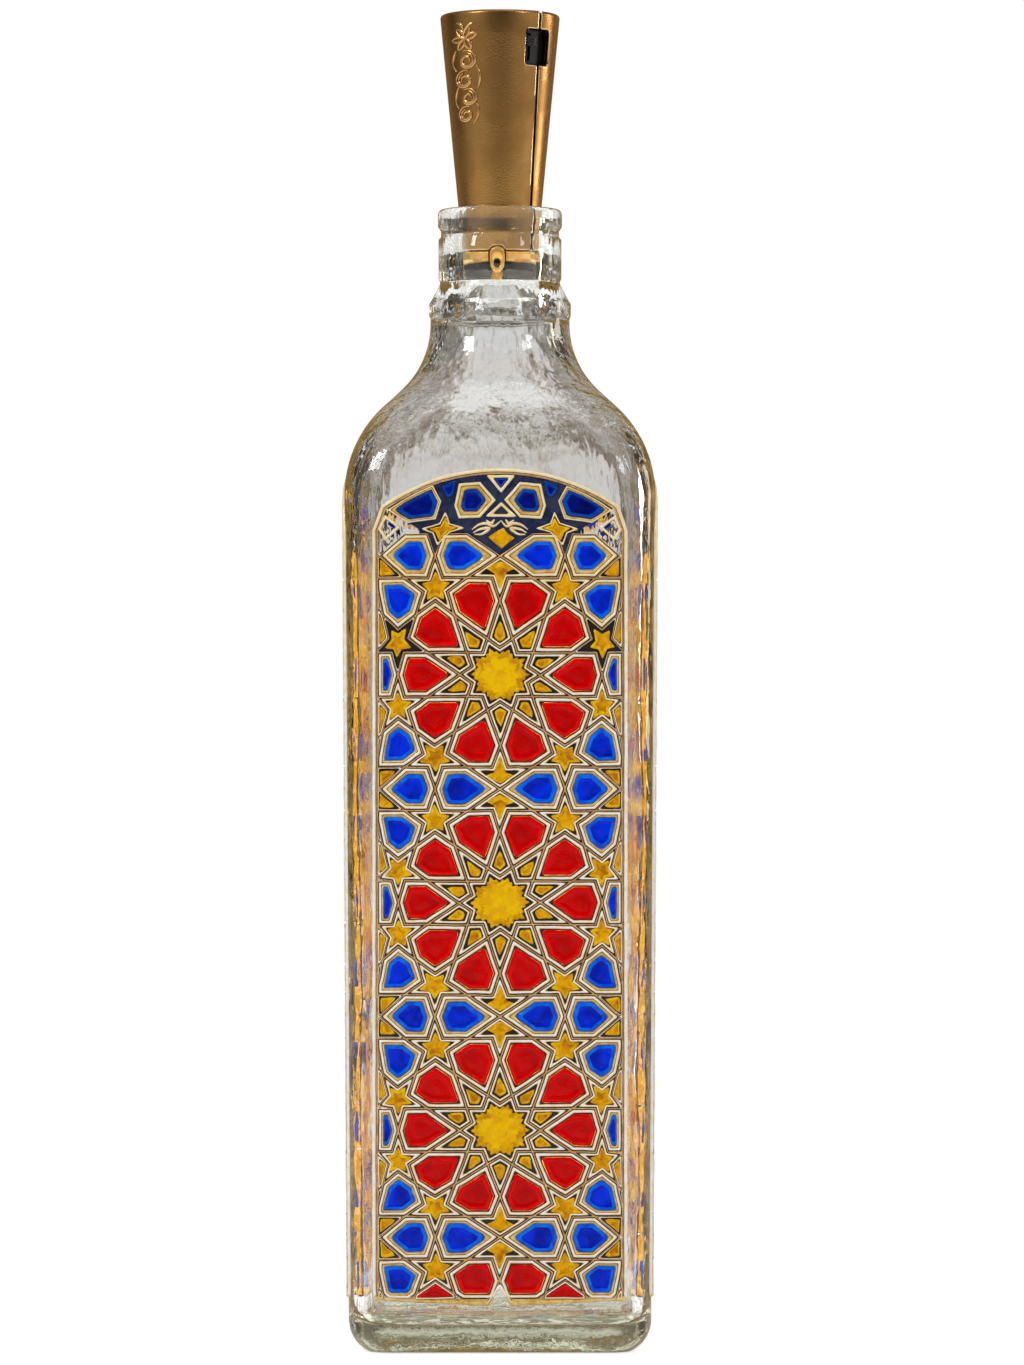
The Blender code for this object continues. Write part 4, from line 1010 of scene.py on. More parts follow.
    def regular(self) -> list[Cell]:
        """Return the regular part of the pattern, moved to where it was painted."""
        cells = []
        for z in self.centre_rows:
            centre = (0.0, z)
            cells += self.rosette(centre, Paint.RED)
            cells += self.bow((0.0, z + self.spacing / 2))
            for bearing in self.star_centres:
                cells.append(self.star(polar(self.star_distance, bearing, centre), bearing + 180))
        for z in self.side_rows:
            for way in (1, -1):
                centre = (way * self.column, z)
                facing = 180 if way == 1 else 0
                for step in (-2, -1, 0, 1, 2):
                    paint = Paint.BLUE if abs(step) < 2 else Paint.YELLOW
                    cells.append(self.petal(centre, facing + 36 * step, paint))
                for step in (-1.5, -0.5, 0.5, 1.5):
                    cells.append(self.kite(centre, facing + 36 * step))
                cells += self.bow((way * self.column, z - self.spacing / 2))[:2]
        kept = []
        low, high = self.foot_notch
        for cell in cells:
            x = sum(p[0] for p in cell.outline) / len(cell.outline)
            z = sum(p[1] for p in cell.outline) / len(cell.outline)
            in_notch = abs(x) < 1 and low < z < high
            if z < self.crown_from and abs(x) < self.column - 1 and not in_notch:
                kept.append(cell)
                cell.outline = [self.warped(p) for p in cell.outline]
                if cell.drop:
                    cell.drop = [self.warped(p) for p in cell.drop]
        return kept

    def crown(self) -> list[Cell]:
        """Return the cells under the arch, which the painter laid out by eye."""
        inner = [(1.0, 211.7), (4.9, 207.3), (10.3, 207.0), (11.4, 210.2), (10.2, 215.7), (4.9, 216.2)]
        outer = [(14.5, 211.4), (15.9, 206.9), (22.7, 206.0), (29.0, 209.9), (22.6, 213.3), (16.5, 215.3)]
        four = [
            (13.5, 209.0), (12.4, 205.9), (8.4, 204.6), (12.4, 203.6),
            (15.6, 200.3), (16.7, 203.4), (19.8, 204.5), (14.9, 206.0),
        ]
        four_drop = [
            (13.5, 207.5), (12.4, 205.2), (9.8, 204.7), (12.8, 203.9),
            (15.1, 201.4), (15.9, 203.6), (17.7, 204.6), (14.5, 205.3),
        ]
        wedge = [(14.3, 214.9), (10.9, 216.6), (11.9, 212.8), (13.1, 212.2)]
        loop = [(24.6, 205.0), (29.2, 208.6), (30.5, 205.0), (28.4, 201.6)]
        fleck = [(25.5, 205.0), (27.4, 206.6), (27.9, 205.6), (26.2, 204.3)]
        peak = [(0.3, 213.4), (3.9, 217.9), (-3.5, 217.9)]
        tip = [(0.3, 214.7), (2.3, 217.0), (-1.8, 217.0)]
        gable = [(0.3, 211.2), (4.3, 207.5), (-3.8, 207.5)]
        diamond = [
            (0.2, 199.7), (1.9, 201.2), (3.8, 202.5), (1.9, 203.4), (0.8, 204.9),
            (-0.6, 204.2), (-1.5, 203.6), (-3.2, 202.5), (-1.7, 201.3),
        ]
        pairs = (
            (inner, Paint.BLUE, Form.PETAL, None),
            (outer, Paint.BLUE, Form.PETAL, None),
            (four, Paint.YELLOW, Form.STAR, four_drop),
            (wedge, Paint.BLUE, Form.FLECK, wedge),
            (loop, Paint.BLUE, Form.OPEN, None),
            (fleck, Paint.BLUE, Form.FLECK, fleck),
        )
        singles = (
            (peak, Paint.BLUE, Form.OPEN, None),
            (tip, Paint.BLUE, Form.FLECK, tip),
            (gable, Paint.BLUE, Form.OPEN, None),
            (diamond, Paint.YELLOW, Form.FLECK, diamond),
        )
        cells = []
        for shapes, way in ((pairs, 1), (pairs, -1), (singles, 1)):
            for outline, paint, form, drop in shapes:
                outline = [(x * way, z) for x, z in outline]
                drop = [(x * way, z) for x, z in drop] if drop else None
                cells.append(Cell(outline, paint, form, drop, form is not Form.FLECK))
        return cells

    def flourishes(self) -> list[list[Pair]]:
        """Return the loose gold strokes under the crown's middle."""
        strokes = []
        for way in (1, -1):
            leaf = [(6.6, 203.6), (4.9, 204.5), (2.6, 204.7), (4.4, 203.3), (6.3, 203.2)]
            stem = [(6.9, 204.4), (5.2, 205.6), (3.2, 205.9), (1.6, 205.2), (0.3 * way, 206.6)]
            bud = [(1.4, 206.9), (2.2, 205.9), (3.4, 206.7)]
            strokes += [[(x * way, z) for x, z in stroke] for stroke in (stem, leaf, bud)]
        return strokes


class Outline:
    """Sums on flat outlines, in millimetres."""

    least_bend = 0.03
    sharpest = 0.08
    most_rounded = 0.42

    @staticmethod
    def area(points: np.ndarray) -> float:
        """Return the signed area, positive when the outline runs anticlockwise."""
        x, z = points[:, 0], points[:, 1]
        return float(np.sum(x * np.roll(z, -1) - np.roll(x, -1) * z)) / 2

    @staticmethod
    def tidy(points: Sequence[Pair], least: float = 0.5) -> np.ndarray:
        """Return the outline anticlockwise, without points that nearly coincide or lie on a line."""
        kept: list[np.ndarray] = []
        for point in (np.array(p, float) for p in points):
            if not kept or np.linalg.norm(point - kept[-1]) > least:
                kept.append(point)
        while len(kept) > 2 and np.linalg.norm(kept[0] - kept[-1]) <= least:
            kept.pop()
        out = np.array(kept)
        if len(out) >= 3 and Outline.area(out) < 0:
            out = out[::-1]
        if len(out) < 4:
            return out
        before, after = out - np.roll(out, 1, 0), np.roll(out, -1, 0) - out
        cross = before[:, 0] * after[:, 1] - before[:, 1] * after[:, 0]
        size = np.linalg.norm(before, axis=1) * np.linalg.norm(after, axis=1)
        return out[np.abs(cross) > Outline.least_bend * size]

    @staticmethod
    def clipped(points: np.ndarray, border: np.ndarray) -> list[Pair]:
        """Return the part of an outline inside a border that bulges outwards everywhere."""
        result = [tuple(p) for p in points]
        for a, b in zip(border, np.roll(border, -1, 0)):
            edge = b - a
            source, result = result, []
            if not source:
                return []

            def side(p: Pair) -> float:
                return edge[0] * (p[1] - a[1]) - edge[1] * (p[0] - a[0])

            for p, q in zip(source, source[1:] + source[:1]):
                sp, sq = side(p), side(q)
                if sp >= 0:
                    result.append(p)
                if sp * sq < 0:
                    t = sp / (sp - sq)
                    result.append((p[0] + (q[0] - p[0]) * t, p[1] + (q[1] - p[1]) * t))
        return result

    @staticmethod
    def spans(points: np.ndarray, spacing: float, most: int) -> np.ndarray:
        """Return how many points go inside each edge."""
        lengths = np.linalg.norm(np.roll(points, -1, 0) - points, axis=1)
        return np.clip(lengths // spacing, 0, most).astype(int)

    @staticmethod
    def moves(points: np.ndarray) -> np.ndarray:
        """Return how each corner moves when the outline is set in by one millimetre."""
        edges = np.roll(points, -1, 0) - points
        edges /= np.linalg.norm(edges, axis=1, keepdims=True)
        normals = np.stack([-edges[:, 1], edges[:, 0]], 1)
        before = np.roll(normals, 1, 0)
        dot = np.sum(before * normals, 1, keepdims=True)
        return (before + normals) / np.maximum(1 + dot, Outline.sharpest)

    @staticmethod
    def room(points: np.ndarray) -> float:
        """Return the greatest inset that turns no edge round."""
        moves = Outline.moves(points)
        edges = np.roll(points, -1, 0) - points
        lengths = np.linalg.norm(edges, axis=1)
        change = np.sum((np.roll(moves, -1, 0) - moves) * edges, 1) / lengths
        shrinking = change < -1e-6
        if not shrinking.any():
            return 99.0
        return float(np.min(lengths[shrinking] / -change[shrinking]))

    @staticmethod
    def ring(points: np.ndarray, inset: float, radius: float, spans: np.ndarray, steps: int = 3) -> np.ndarray:
        """Return an outline set in, with rounded corners and divided edges.

        Args:
            points: The outline's corners, anticlockwise.
            inset: How far it is set in.
            radius: The corners' radius.
            spans: How many points go inside each edge.
            steps: How many points make each corner.

        Returns:
            The ring's points, always the same number for one outline.
        """
        corners = points + Outline.moves(points) * inset
        after = np.roll(corners, -1, 0) - corners
        lengths = np.maximum(np.linalg.norm(after, axis=1), 1e-6)
        ahead = after / lengths[:, None]
        behind = np.roll(ahead, 1, 0)
        cosine = np.clip(np.sum(-behind * ahead, 1), -0.9999, 0.9999)
        half = np.arccos(cosine) / 2
        room = Outline.most_rounded * np.minimum(lengths, np.roll(lengths, 1))
        reach = np.minimum(radius / np.tan(half), room)
        start = corners - behind * reach[:, None]
        end = corners + ahead * reach[:, None]
        ring = []
        count = len(points)
        for i in range(count):
            for k in range(steps):
                t = k / (steps - 1)
                ring.append(start[i] * (1 - t) ** 2 + corners[i] * 2 * t * (1 - t) + end[i] * t * t)
            for k in range(int(spans[i])):
                t = (k + 1) / (spans[i] + 1)
                ring.append(end[i] * (1 - t) + start[(i + 1) % count] * t)
        return np.array(ring)


# One level of a raised edge: its inset, height and corner radius in millimetres, and its layer.
Level = tuple[float, float, float, int]


@dataclass
class PaintedPanel:
    """The contour work and the glass paint of one side, built once and placed four times."""

    glass: GlassBottle
    lattice: StarLattice = field(default_factory=StarLattice)
    side: float = 31.6
    side_points: tuple[float, ...] = (16.0, 60.0, 110.0, 160.0)
    foot: tuple[Pair, ...] = (
        (-31.3, 13.5), (-20.0, 12.9), (-2.7, 12.1), (0.0, 16.4), (2.7, 12.1), (20.0, 12.9), (31.3, 13.5),
    )
    foot_cut: float = 13.75
    plain_foot: float = 0.0149
    springing: float = 210.4
    apex: float = 219.6
    shoulder_drop: float = 6.1
    shoulder_inset: float = 2.2
    frame_width: float = 1.3
    frame_levels: tuple[Level, ...] = (
        (0.0, 0.02, 0.8, Layer.CORD), (0.1, 0.32, 0.8, Layer.CORD), (0.26, 0.5, 0.8, Layer.CORD),
        (0.46, 0.58, 0.8, Layer.CORD), (0.66, 0.5, 0.8, Layer.CORD), (0.82, 0.3, 0.7, Layer.CORD),
        (0.98, 0.2, 0.6, Layer.MOAT), (1.45, 0.2, 0.5, Layer.STRAP),
    )
    cord_from: float = 0.38
    cord_to: float = 1.13
    cord_top: float = 0.60
    fine_cord: float = 0.66
    strap_top: float = 0.26
    moat_floor: float = 0.07
    drop_top: float = 0.52
    ground_top: float = 0.03
    ground_foot: float = 197.95
    back_top: float = 0.015
    smallest: float = 3.2
    least_area: float = 0.7
    hand: float = 0.13
    seed: int = 1

    @property
    def across(self) -> float:
        """Return half the arch's span."""
        return self.side - self.shoulder_inset

    @property
    def arch_radius(self) -> float:
        """Return the arch's radius."""
        rise = self.apex - self.springing
        return (self.across * self.across + rise * rise) / (2 * rise)

    @property
    def side_top(self) -> float:
        """Return the height at which the panel's straight sides end."""
        return self.springing - self.shoulder_drop

    def arch(self, margin: float = 0.0, steps: int = 16) -> list[Pair]:
        """Return points along the arch from right to left, set in by a margin."""
        radius = self.arch_radius
        points = []
        for i in range(steps + 1):
            x = self.across * (1 - 2 * i / steps)
            height = self.apex - radius + math.sqrt(radius * radius - x * x)
            points.append((x * (self.across - margin) / self.across, height - margin))
        return points

    def border(self) -> np.ndarray:
        """Return the panel's outline with its notched foot."""
        heights = (*self.side_points, self.side_top)
        right = [(self.side, z) for z in heights]
        left = [(-self.side, z) for z in reversed(heights)]
        return np.array([*self.foot, *right, *self.arch(), *left])

    def clip_border(self) -> np.ndarray:
        """Return the line at which the pattern's cells are cut."""
        reach = self.side - self.frame_width
        corners = [(-reach, self.foot_cut), (reach, self.foot_cut), (reach, self.side_top)]
        return np.array([*corners, *self.arch(self.frame_width), (-reach, self.side_top)])

    def wander(self, points: np.ndarray, amount: float) -> np.ndarray:
        """Return flat points moved a little, as a steady hand would."""
        moved = []
        for x, z in points:
            slow, quick = Vector((x / 9, z / 9, 0.3)), Vector((x / 2.3, z / 2.3, 5.1))
            shift = noise.noise_vector(slow) * amount * 1.3 + noise.noise_vector(quick) * amount * 0.75
            moved.append((x + shift.x, z + shift.y))
        return np.array(moved)

    def lifted(self, points: Iterable[Sequence[float]], height: float) -> list[Point]:
        """Return flat points on the front of the glass, raised by a height in millimetres."""
        return [(x * MM, -self.glass.front(x * MM, z * MM) - height * MM, z * MM) for x, z in points]

    def raised(
        self, loft: Loft, outline: np.ndarray, levels: Sequence[Level], spans: np.ndarray, hand: float, corner: int = 3
    ) -> tuple[np.ndarray, range]:
        """Add the levels of a raised edge along an outline.

        Args:
            loft: The contour work so far.
            outline: The outline that the insets start from.
            levels: The edge's levels, from outside to inside.
            spans: How many points go inside each edge of the outline.
            hand: How far the hand wandered.
            corner: How many points make each corner.

        Returns:
            The last level's ring in millimetres, and its point numbers.
        """
        rings = []
        for inset, height, radius, layer in levels:
            ring = self.wander(Outline.ring(outline, inset, radius, spans, corner), hand)
            rings.append((self.lifted(ring, height), layer))
        return ring, loft.stack(rings)[-1]

    def cell_levels(self, cell: Cell, high: bool) -> list[Level]:
        """Return the levels of a cell's strap, cord and floor.

        Args:
            cell: The cell.
            high: Whether the cell is in the upper part, where the bands are wider.

        Returns:
            The levels, from the outline inwards.
        """
        fine = cell.form in (Form.STAR, Form.KITE, Form.ARROW, Form.ROSETTE)
        start = 0.0 if cell.island else self.cord_from
        width = (self.cord_to - self.cord_from) * (self.fine_cord if fine else 1.0)
        top, floor, edge = self.cord_top, self.moat_floor, start + width
        levels = [(0.0, 0.03, 0.3, Layer.CORD)]
        if not cell.island:
            levels = [
                (0.0, self.strap_top, 0.1, Layer.STRAP),
                (start - 0.22, self.strap_top - 0.03, 0.18, Layer.STRAP),
                # A near-black trench between strap and cord: painted shade.
                (start - 0.17, 0.08, 0.2, Layer.MOAT),
                (start - 0.02, 0.06, 0.22, Layer.MOAT),
            ]
        # The cord's top takes the near-white cord colour and its outer and inner flanks the strap's bronze and the
        # band's gold: painted highlight on top, painted shade on the flanks.
        levels += [
            (start + width * 0.1, top * 0.72, 0.25, Layer.CORD if cell.island else Layer.STRAP),
            (start + width * 0.3, top * 0.96, 0.25, Layer.CORD),
            (start + width * 0.52, top, 0.28, Layer.CORD),
            (start + width * 0.78, top * 0.86, 0.3, Layer.CORD),
            (edge, 0.3, 0.32, Layer.BAND),
        ]
        if cell.form is Form.OPEN:
            return levels + [(edge + 0.05, 0.03, 0.34, Layer.MOAT)]
        if cell.paint is Paint.BLUE and cell.form is Form.PETAL:
            wide = 0.8 if high else 0.5
            return levels + [
                (edge + 0.05, floor, 0.35, Layer.MOAT),
                (edge + 0.12, 0.36, 0.45, Layer.BAND),
                (edge + 0.1 + wide * 0.6, 0.42, 0.7, Layer.BAND),
                (edge + 0.1 + wide, floor + 0.02, 0.9, Layer.BAND),
            ]
        return levels + [
            (edge + 0.05, floor, 0.36, Layer.MOAT),
            (edge + (0.15 if fine else 0.3), floor, 0.7, Layer.MOAT),
        ]

    def contour_cell(self, loft: Loft, cell: Cell, outline: np.ndarray) -> np.ndarray:
        """Add a cell's strap, cord and floor, and return the ring that its paint starts from.

        Args:
            loft: The contour work so far.
            cell: The cell.
            outline: Its outline after cutting.

        Returns:
            The innermost ring of the contour work, in millimetres.
        """
        blue = cell.paint is Paint.BLUE and cell.form is Form.PETAL
        share = min(1.0, Outline.room(outline) * 0.8 / (1.9 if blue else 1.3))
        levels = [(level[0] * share, *level[1:]) for level in self.cell_levels(cell, outline[:, 1].mean() > 190)]
        ring, last = self.raised(loft, outline, levels, Outline.spans(outline, 2.6, 3), self.hand)
        if cell.form in (Form.STAR, Form.ROSETTE, Form.ARROW, Form.KITE, Form.PLAIN):
            middle = ring.mean(0)
            inside = loft.ring(self.lifted(ring * 0.4 + middle * 0.6, self.moat_floor))
            loft.band(last, inside, Layer.MOAT)
            loft.fan(inside, self.lifted([middle], self.moat_floor)[0], Layer.MOAT)
        return ring

    def ground(self, loft: Loft) -> None:
        """Add the dark blue ground behind the crown's separate shapes."""
        radius, high, neck, foot = self.arch_radius, self.apex - 0.9, 203.2, self.ground_foot

        def main_half(z: float) -> float:
            """Return half the width of the part under the arch."""
            arch = math.sqrt(max(radius**2 - (radius - (high - z)) ** 2, 0.01))
            return min(arch, 20.0 + max(z - 204.4, 0.0) * 1.55)

        patches = (
            (0.0, neck, high - 0.05, main_half),
            (0.0, 198.3, neck, lambda z: (z - foot) * 1.5),
            (16.1, 198.5, neck, lambda z: (z - foot) * 0.34),
            (-16.1, 198.5, neck, lambda z: (z - foot) * 0.34),
        )
        steps, columns = 22, 36
        for middle, low, top, half in patches:
            rows = []
            for i in range(steps + 1):
                z = low + (top - low) * i / steps
                row = [(middle + half(z) * (2 * k / columns - 1), z) for k in range(columns + 1)]
                rows.append(self.lifted(row, self.ground_top))
            loft.sheet(rows, Layer.NAVY)

    def strokes(self, loft: Loft) -> None:
        """Add the loose gold strokes as low rounded ridges."""
        section = ((-1.0, 0.03), (-0.7, 0.38), (0.0, 0.55), (0.7, 0.38), (1.0, 0.03))
        for stroke in self.lattice.flourishes():
            points = np.array(stroke, float)
            before, after = np.vstack([points[:1], points[:-2]]), np.vstack([points[2:], points[-1:]])
            fine = [points[0]]
            for a, b, c, d in zip(before, points[:-1], points[1:], after):
                for t in (0.25, 0.5, 0.75, 1.0):
                    curve = 2 * b + (c - a) * t + (2 * a - 5 * b + 4 * c - d) * t**2
                    fine.append(0.5 * (curve + (3 * b - a - 3 * c + d) * t**3))
            rows = []
            last = len(fine) - 1
            for i, point in enumerate(fine):
                along = fine[min(i + 1, last)] - fine[max(i - 1, 0)]
                side = np.array([-along[1], along[0]]) / max(np.linalg.norm(along), 1e-6)
                size = 0.12 + 0.26 * math.sin(math.pi * min(max(i / last, 0.05), 0.95))
                rows.append([self.lifted([point + side * size * s], height)[0] for s, height in section])
            loft.sheet(rows, Layer.CORD, flip=True)

    def drop(self, loft: Loft, ring: np.ndarray, table: float, rough: float, inner: int = 1) -> None:
        """Add one drop of paint with a bevelled rim and a lower table.

        Args:
            loft: The paint of this colour so far.
            ring: The drop's foot, in millimetres.
            table: How much of the way to the middle the rim takes.
            rough: How far the hand wandered.
            inner: The table's material slot.
        """
        middle = ring.mean(0)
        size = float(np.mean(np.linalg.norm(ring - middle, axis=1)))
        top = min(self.drop_top, 0.22 + size * 0.12)
        ring = self.wander(ring, rough)
        # The rim levels take the lighter rim paint, partly painted light on the thin edge; the table takes the inner
        # slot.
        levels = (
            (0.0, self.moat_floor, 0), (0.015, top * 0.6, 0), (0.05, top * 0.86, 0), (0.12, top * 0.985, 0),
            (table * 0.82, top, 0), (table, top * 0.93, 0), (table + 0.035, top * 0.83, inner),
            (table + 0.3, top * 0.9, inner), (0.86, top * 0.97, inner),
        )
        numbers = loft.stack(
            (self.lifted(ring + (middle - ring) * share, height), slot) for share, height, slot in levels
        )
        loft.fan(numbers[-1], self.lifted([middle], top)[0], inner)
        loft.fan(numbers[0], self.lifted([middle], self.moat_floor)[0], 0, flip=True)

    def backing(self, loft: Loft, cell: Cell, outline: np.ndarray) -> None:
        """Add what shows of a cell through the glass: the gilt's and the paint's undersides, which carry a painted
        glow.
        """
        spans = Outline.spans(outline, 3.5, 2)
        inset = min(1.5, Outline.room(outline) * 0.7)
        outer = loft.ring(self.lifted(Outline.ring(outline, 0.0, 0.1, spans), self.back_top))
        ring = Outline.ring(outline, inset, 0.35, spans)
        inner = loft.ring(self.lifted(ring, self.back_top))
        loft.band(inner, outer)
        slot = 1 + list(Paint).index(cell.paint)
        loft.fan(inner, self.lifted([ring.mean(0)], self.back_top)[0], slot, flip=True)

    def frame_strip(self, loft: Loft) -> None:
        """Add the cord that frames the panel, in plain gold along its foot."""
        start = len(loft.faces)
        outline = self.border()
        self.raised(loft, outline, self.frame_levels, Outline.spans(outline, 3.5, 14), self.hand * 0.7, 4)
        for number in range(start, len(loft.faces)):
            if all(loft.points[i][2] < self.plain_foot for i in loft.faces[number]):
                loft.slots[number] = Layer.BAND

    def trimmed(self, cell: Cell, border: np.ndarray) -> Optional[np.ndarray]:
        """Cut a cell and its drop at the border, and make a plain one of it where little is left.

        Args:
            cell: The cell.
            border: The line to cut at.

        Returns:
            The cell's outline after cutting, or None where nothing worth painting is left.
        """
        outline = Outline.tidy(Outline.clipped(Outline.tidy(cell.outline, 0.05), border), 0.6)
        area = Outline.area(outline) if len(outline) > 2 else 0.0
        if area < self.least_area:
            return None
        if cell.form is Form.FLECK:
            return outline
        whole = area > 0.97 * abs(Outline.area(np.array(cell.outline, float)))
        if area < self.smallest:
            cell.form, cell.drop = Form.PLAIN, None
        if cell.drop and not whole:
            inside = border * 0.985 + border.mean(0) * 0.015
            cell.drop = Outline.clipped(Outline.tidy(cell.drop, 0.2), inside)
            if len(cell.drop) < 3:
                cell.drop = None
        return outline

    def painted(self, loft: Loft, cell: Cell, ring: np.ndarray) -> None:
        """Add the drop of paint of one cell.

        Args:
            loft: The paint of this colour so far.
            cell: The cell.
            ring: The ring that the contour work left open, in millimetres.
        """
        middle = ring.mean(0)
        if cell.drop:
            corners = Outline.tidy(cell.drop, 0.25)
            if len(corners) > 2:
                foot = Outline.ring(corners, 0.0, 0.3, np.zeros(len(corners), int))
                rosette = cell.form is Form.ROSETTE
                self.drop(loft, foot, 0.3 if rosette else 0.42, 0.3, 2 if rosette else 1)
        elif cell.form is Form.KITE:
            self.drop(loft, ring + (middle - ring) * 0.16, 0.4, 0.3)
        else:
            sway = noise.noise_vector(Vector((middle[0] * 0.31, middle[1] * 0.31, 2.0)))
            shift = np.array([sway.x, sway.y]) * 0.25
            self.drop(loft, (ring - middle) * (0.975 + 0.04 * sway.z) + middle + shift, 0.25, 0.1)

    def lofts(self) -> dict[object, Loft]:
        """Return the panel's contour work and its paints as lofts."""
        # Vector noise takes its seed from the clock where none is set.
        noise.seed_set(self.seed)
        contours, backs = Loft(), Loft()
        paints = {paint: Loft() for paint in Paint}
        border = self.clip_border()
        count = 0
        for cell in self.lattice.regular() + self.lattice.crown():
            outline = self.trimmed(cell, border)
            if outline is None:
                continue
            count += 1
            ring = outline
            if cell.form is not Form.FLECK:
                ring = self.contour_cell(contours, cell, outline)
                if cell.form is not Form.OPEN:
                    self.backing(backs, cell, outline)
            if cell.form not in (Form.PLAIN, Form.OPEN):
                self.painted(paints[cell.paint], cell, ring)
        self.ground(contours)
        self.strokes(contours)
        self.frame_strip(contours)
        LOG.info("panel has %d cells and %d contour faces", count, len(contours.faces))
        return {"contours": contours, "backs": backs, **paints}

    def build(self, shop: Workshop) -> None:
        """Make the panel's meshes once and place them on all four sides."""
        lofts = self.lofts()
        line = [Palette.CORD, Palette.STRAP, Palette.NAVY, Palette.MOAT, Palette.BAND]
        backs = [Palette.GILT_UNDERSIDE_GLOW, Palette.RED_UNDERSIDE_GLOW, Palette.BLUE_UNDERSIDE_GLOW, Palette.YELLOW_UNDERSIDE_GLOW]
        yellows = [Palette.YELLOW_RIM, Palette.YELLOW_TABLE, Palette.YELLOW_BRIGHT]
        recipes = (
            ("contours", "contours", line, Slot.GILT, "lattice"),
            ("enamel_red", Paint.RED, [Palette.RED_RIM, Palette.RED_TABLE], Slot.RED, "enamel"),
            ("enamel_blue", Paint.BLUE, [Palette.BLUE_RIM, Palette.BLUE_TABLE], Slot.BLUE, None),
            ("enamel_yellow", Paint.YELLOW, yellows, Slot.YELLOW, None),
            ("underside", "backs", backs, Slot.GILT, None),
        )
        for name, key, finishes, slot, node in recipes:
            loft, first = lofts[key], None
            for side in Side:
                label = f"{name}_{side.name.lower()}"
                if first is None:
                    item = first = shop.piece(label, loft.points, loft.faces, finishes, loft.slots, 48)
                else:
                    item = linked(label, first.data)
                item.matrix_world = side.turn
                shop.hand_over(item, Body.BOTTLE, slot, *([f"{node}_{side.name.lower()}"] if node else ()))


@dataclass
class Taper:
    """The tapered outline that the stopper's shell, cover and plug share."""

    base: float = 0.27137
    end_radius: float = 0.00905
    top_radius: float = 0.01525
    length: float = 0.0647
    top_bevel: float = 0.0009
    shell_wall: float = 0.0015
    cover_depth_top: float = 0.0050
    cover_depth_end: float = 0.0020
    gap: float = 0.0003
    seam_gap: float = 0.00052
    shell_floor: float = 0.0040
    around: int = 144

    @property
    def top(self) -> float:
        """Return the height of the stopper's top."""
        return self.base + self.length

    @property
    def slope(self) -> float:
        """Return how much the radius grows for each unit of height."""
        return (self.top_radius - self.end_radius) / self.length

    def radius(self, height: float) -> float:
        """Return the outer radius at a height above the plug's lower end."""
        return self.end_radius + self.slope * height

    def seam(self, height: float) -> float:
        """Return how far the cover's seam is from the axis at a height."""
        share = height / self.length
        depth = self.cover_depth_end + (self.cover_depth_top - self.cover_depth_end) * share
        return self.radius(height) - depth

    def circle(self, radius: float, height: float) -> list[Point]:
        """Return a level circle at a height above the plug's lower end."""
        turns = (math.tau * i / self.around for i in range(self.around))
        return [(radius * math.cos(t), radius * math.sin(t), self.base + height) for t in turns]

    def window_frame(self, azimuth: float, below_top: float) -> Matrix:
        """Return the frame at the middle of the switch window, square to the tapered surface."""
        height = self.length - below_top
        turn = Matrix.Rotation(azimuth, 4, "Z") @ Matrix.Translation((0, -self.radius(height), 0))
        tilt = Matrix.Rotation(math.atan(self.slope), 4, "X")
        return Matrix.Translation((0, 0, self.base + height)) @ turn @ tilt


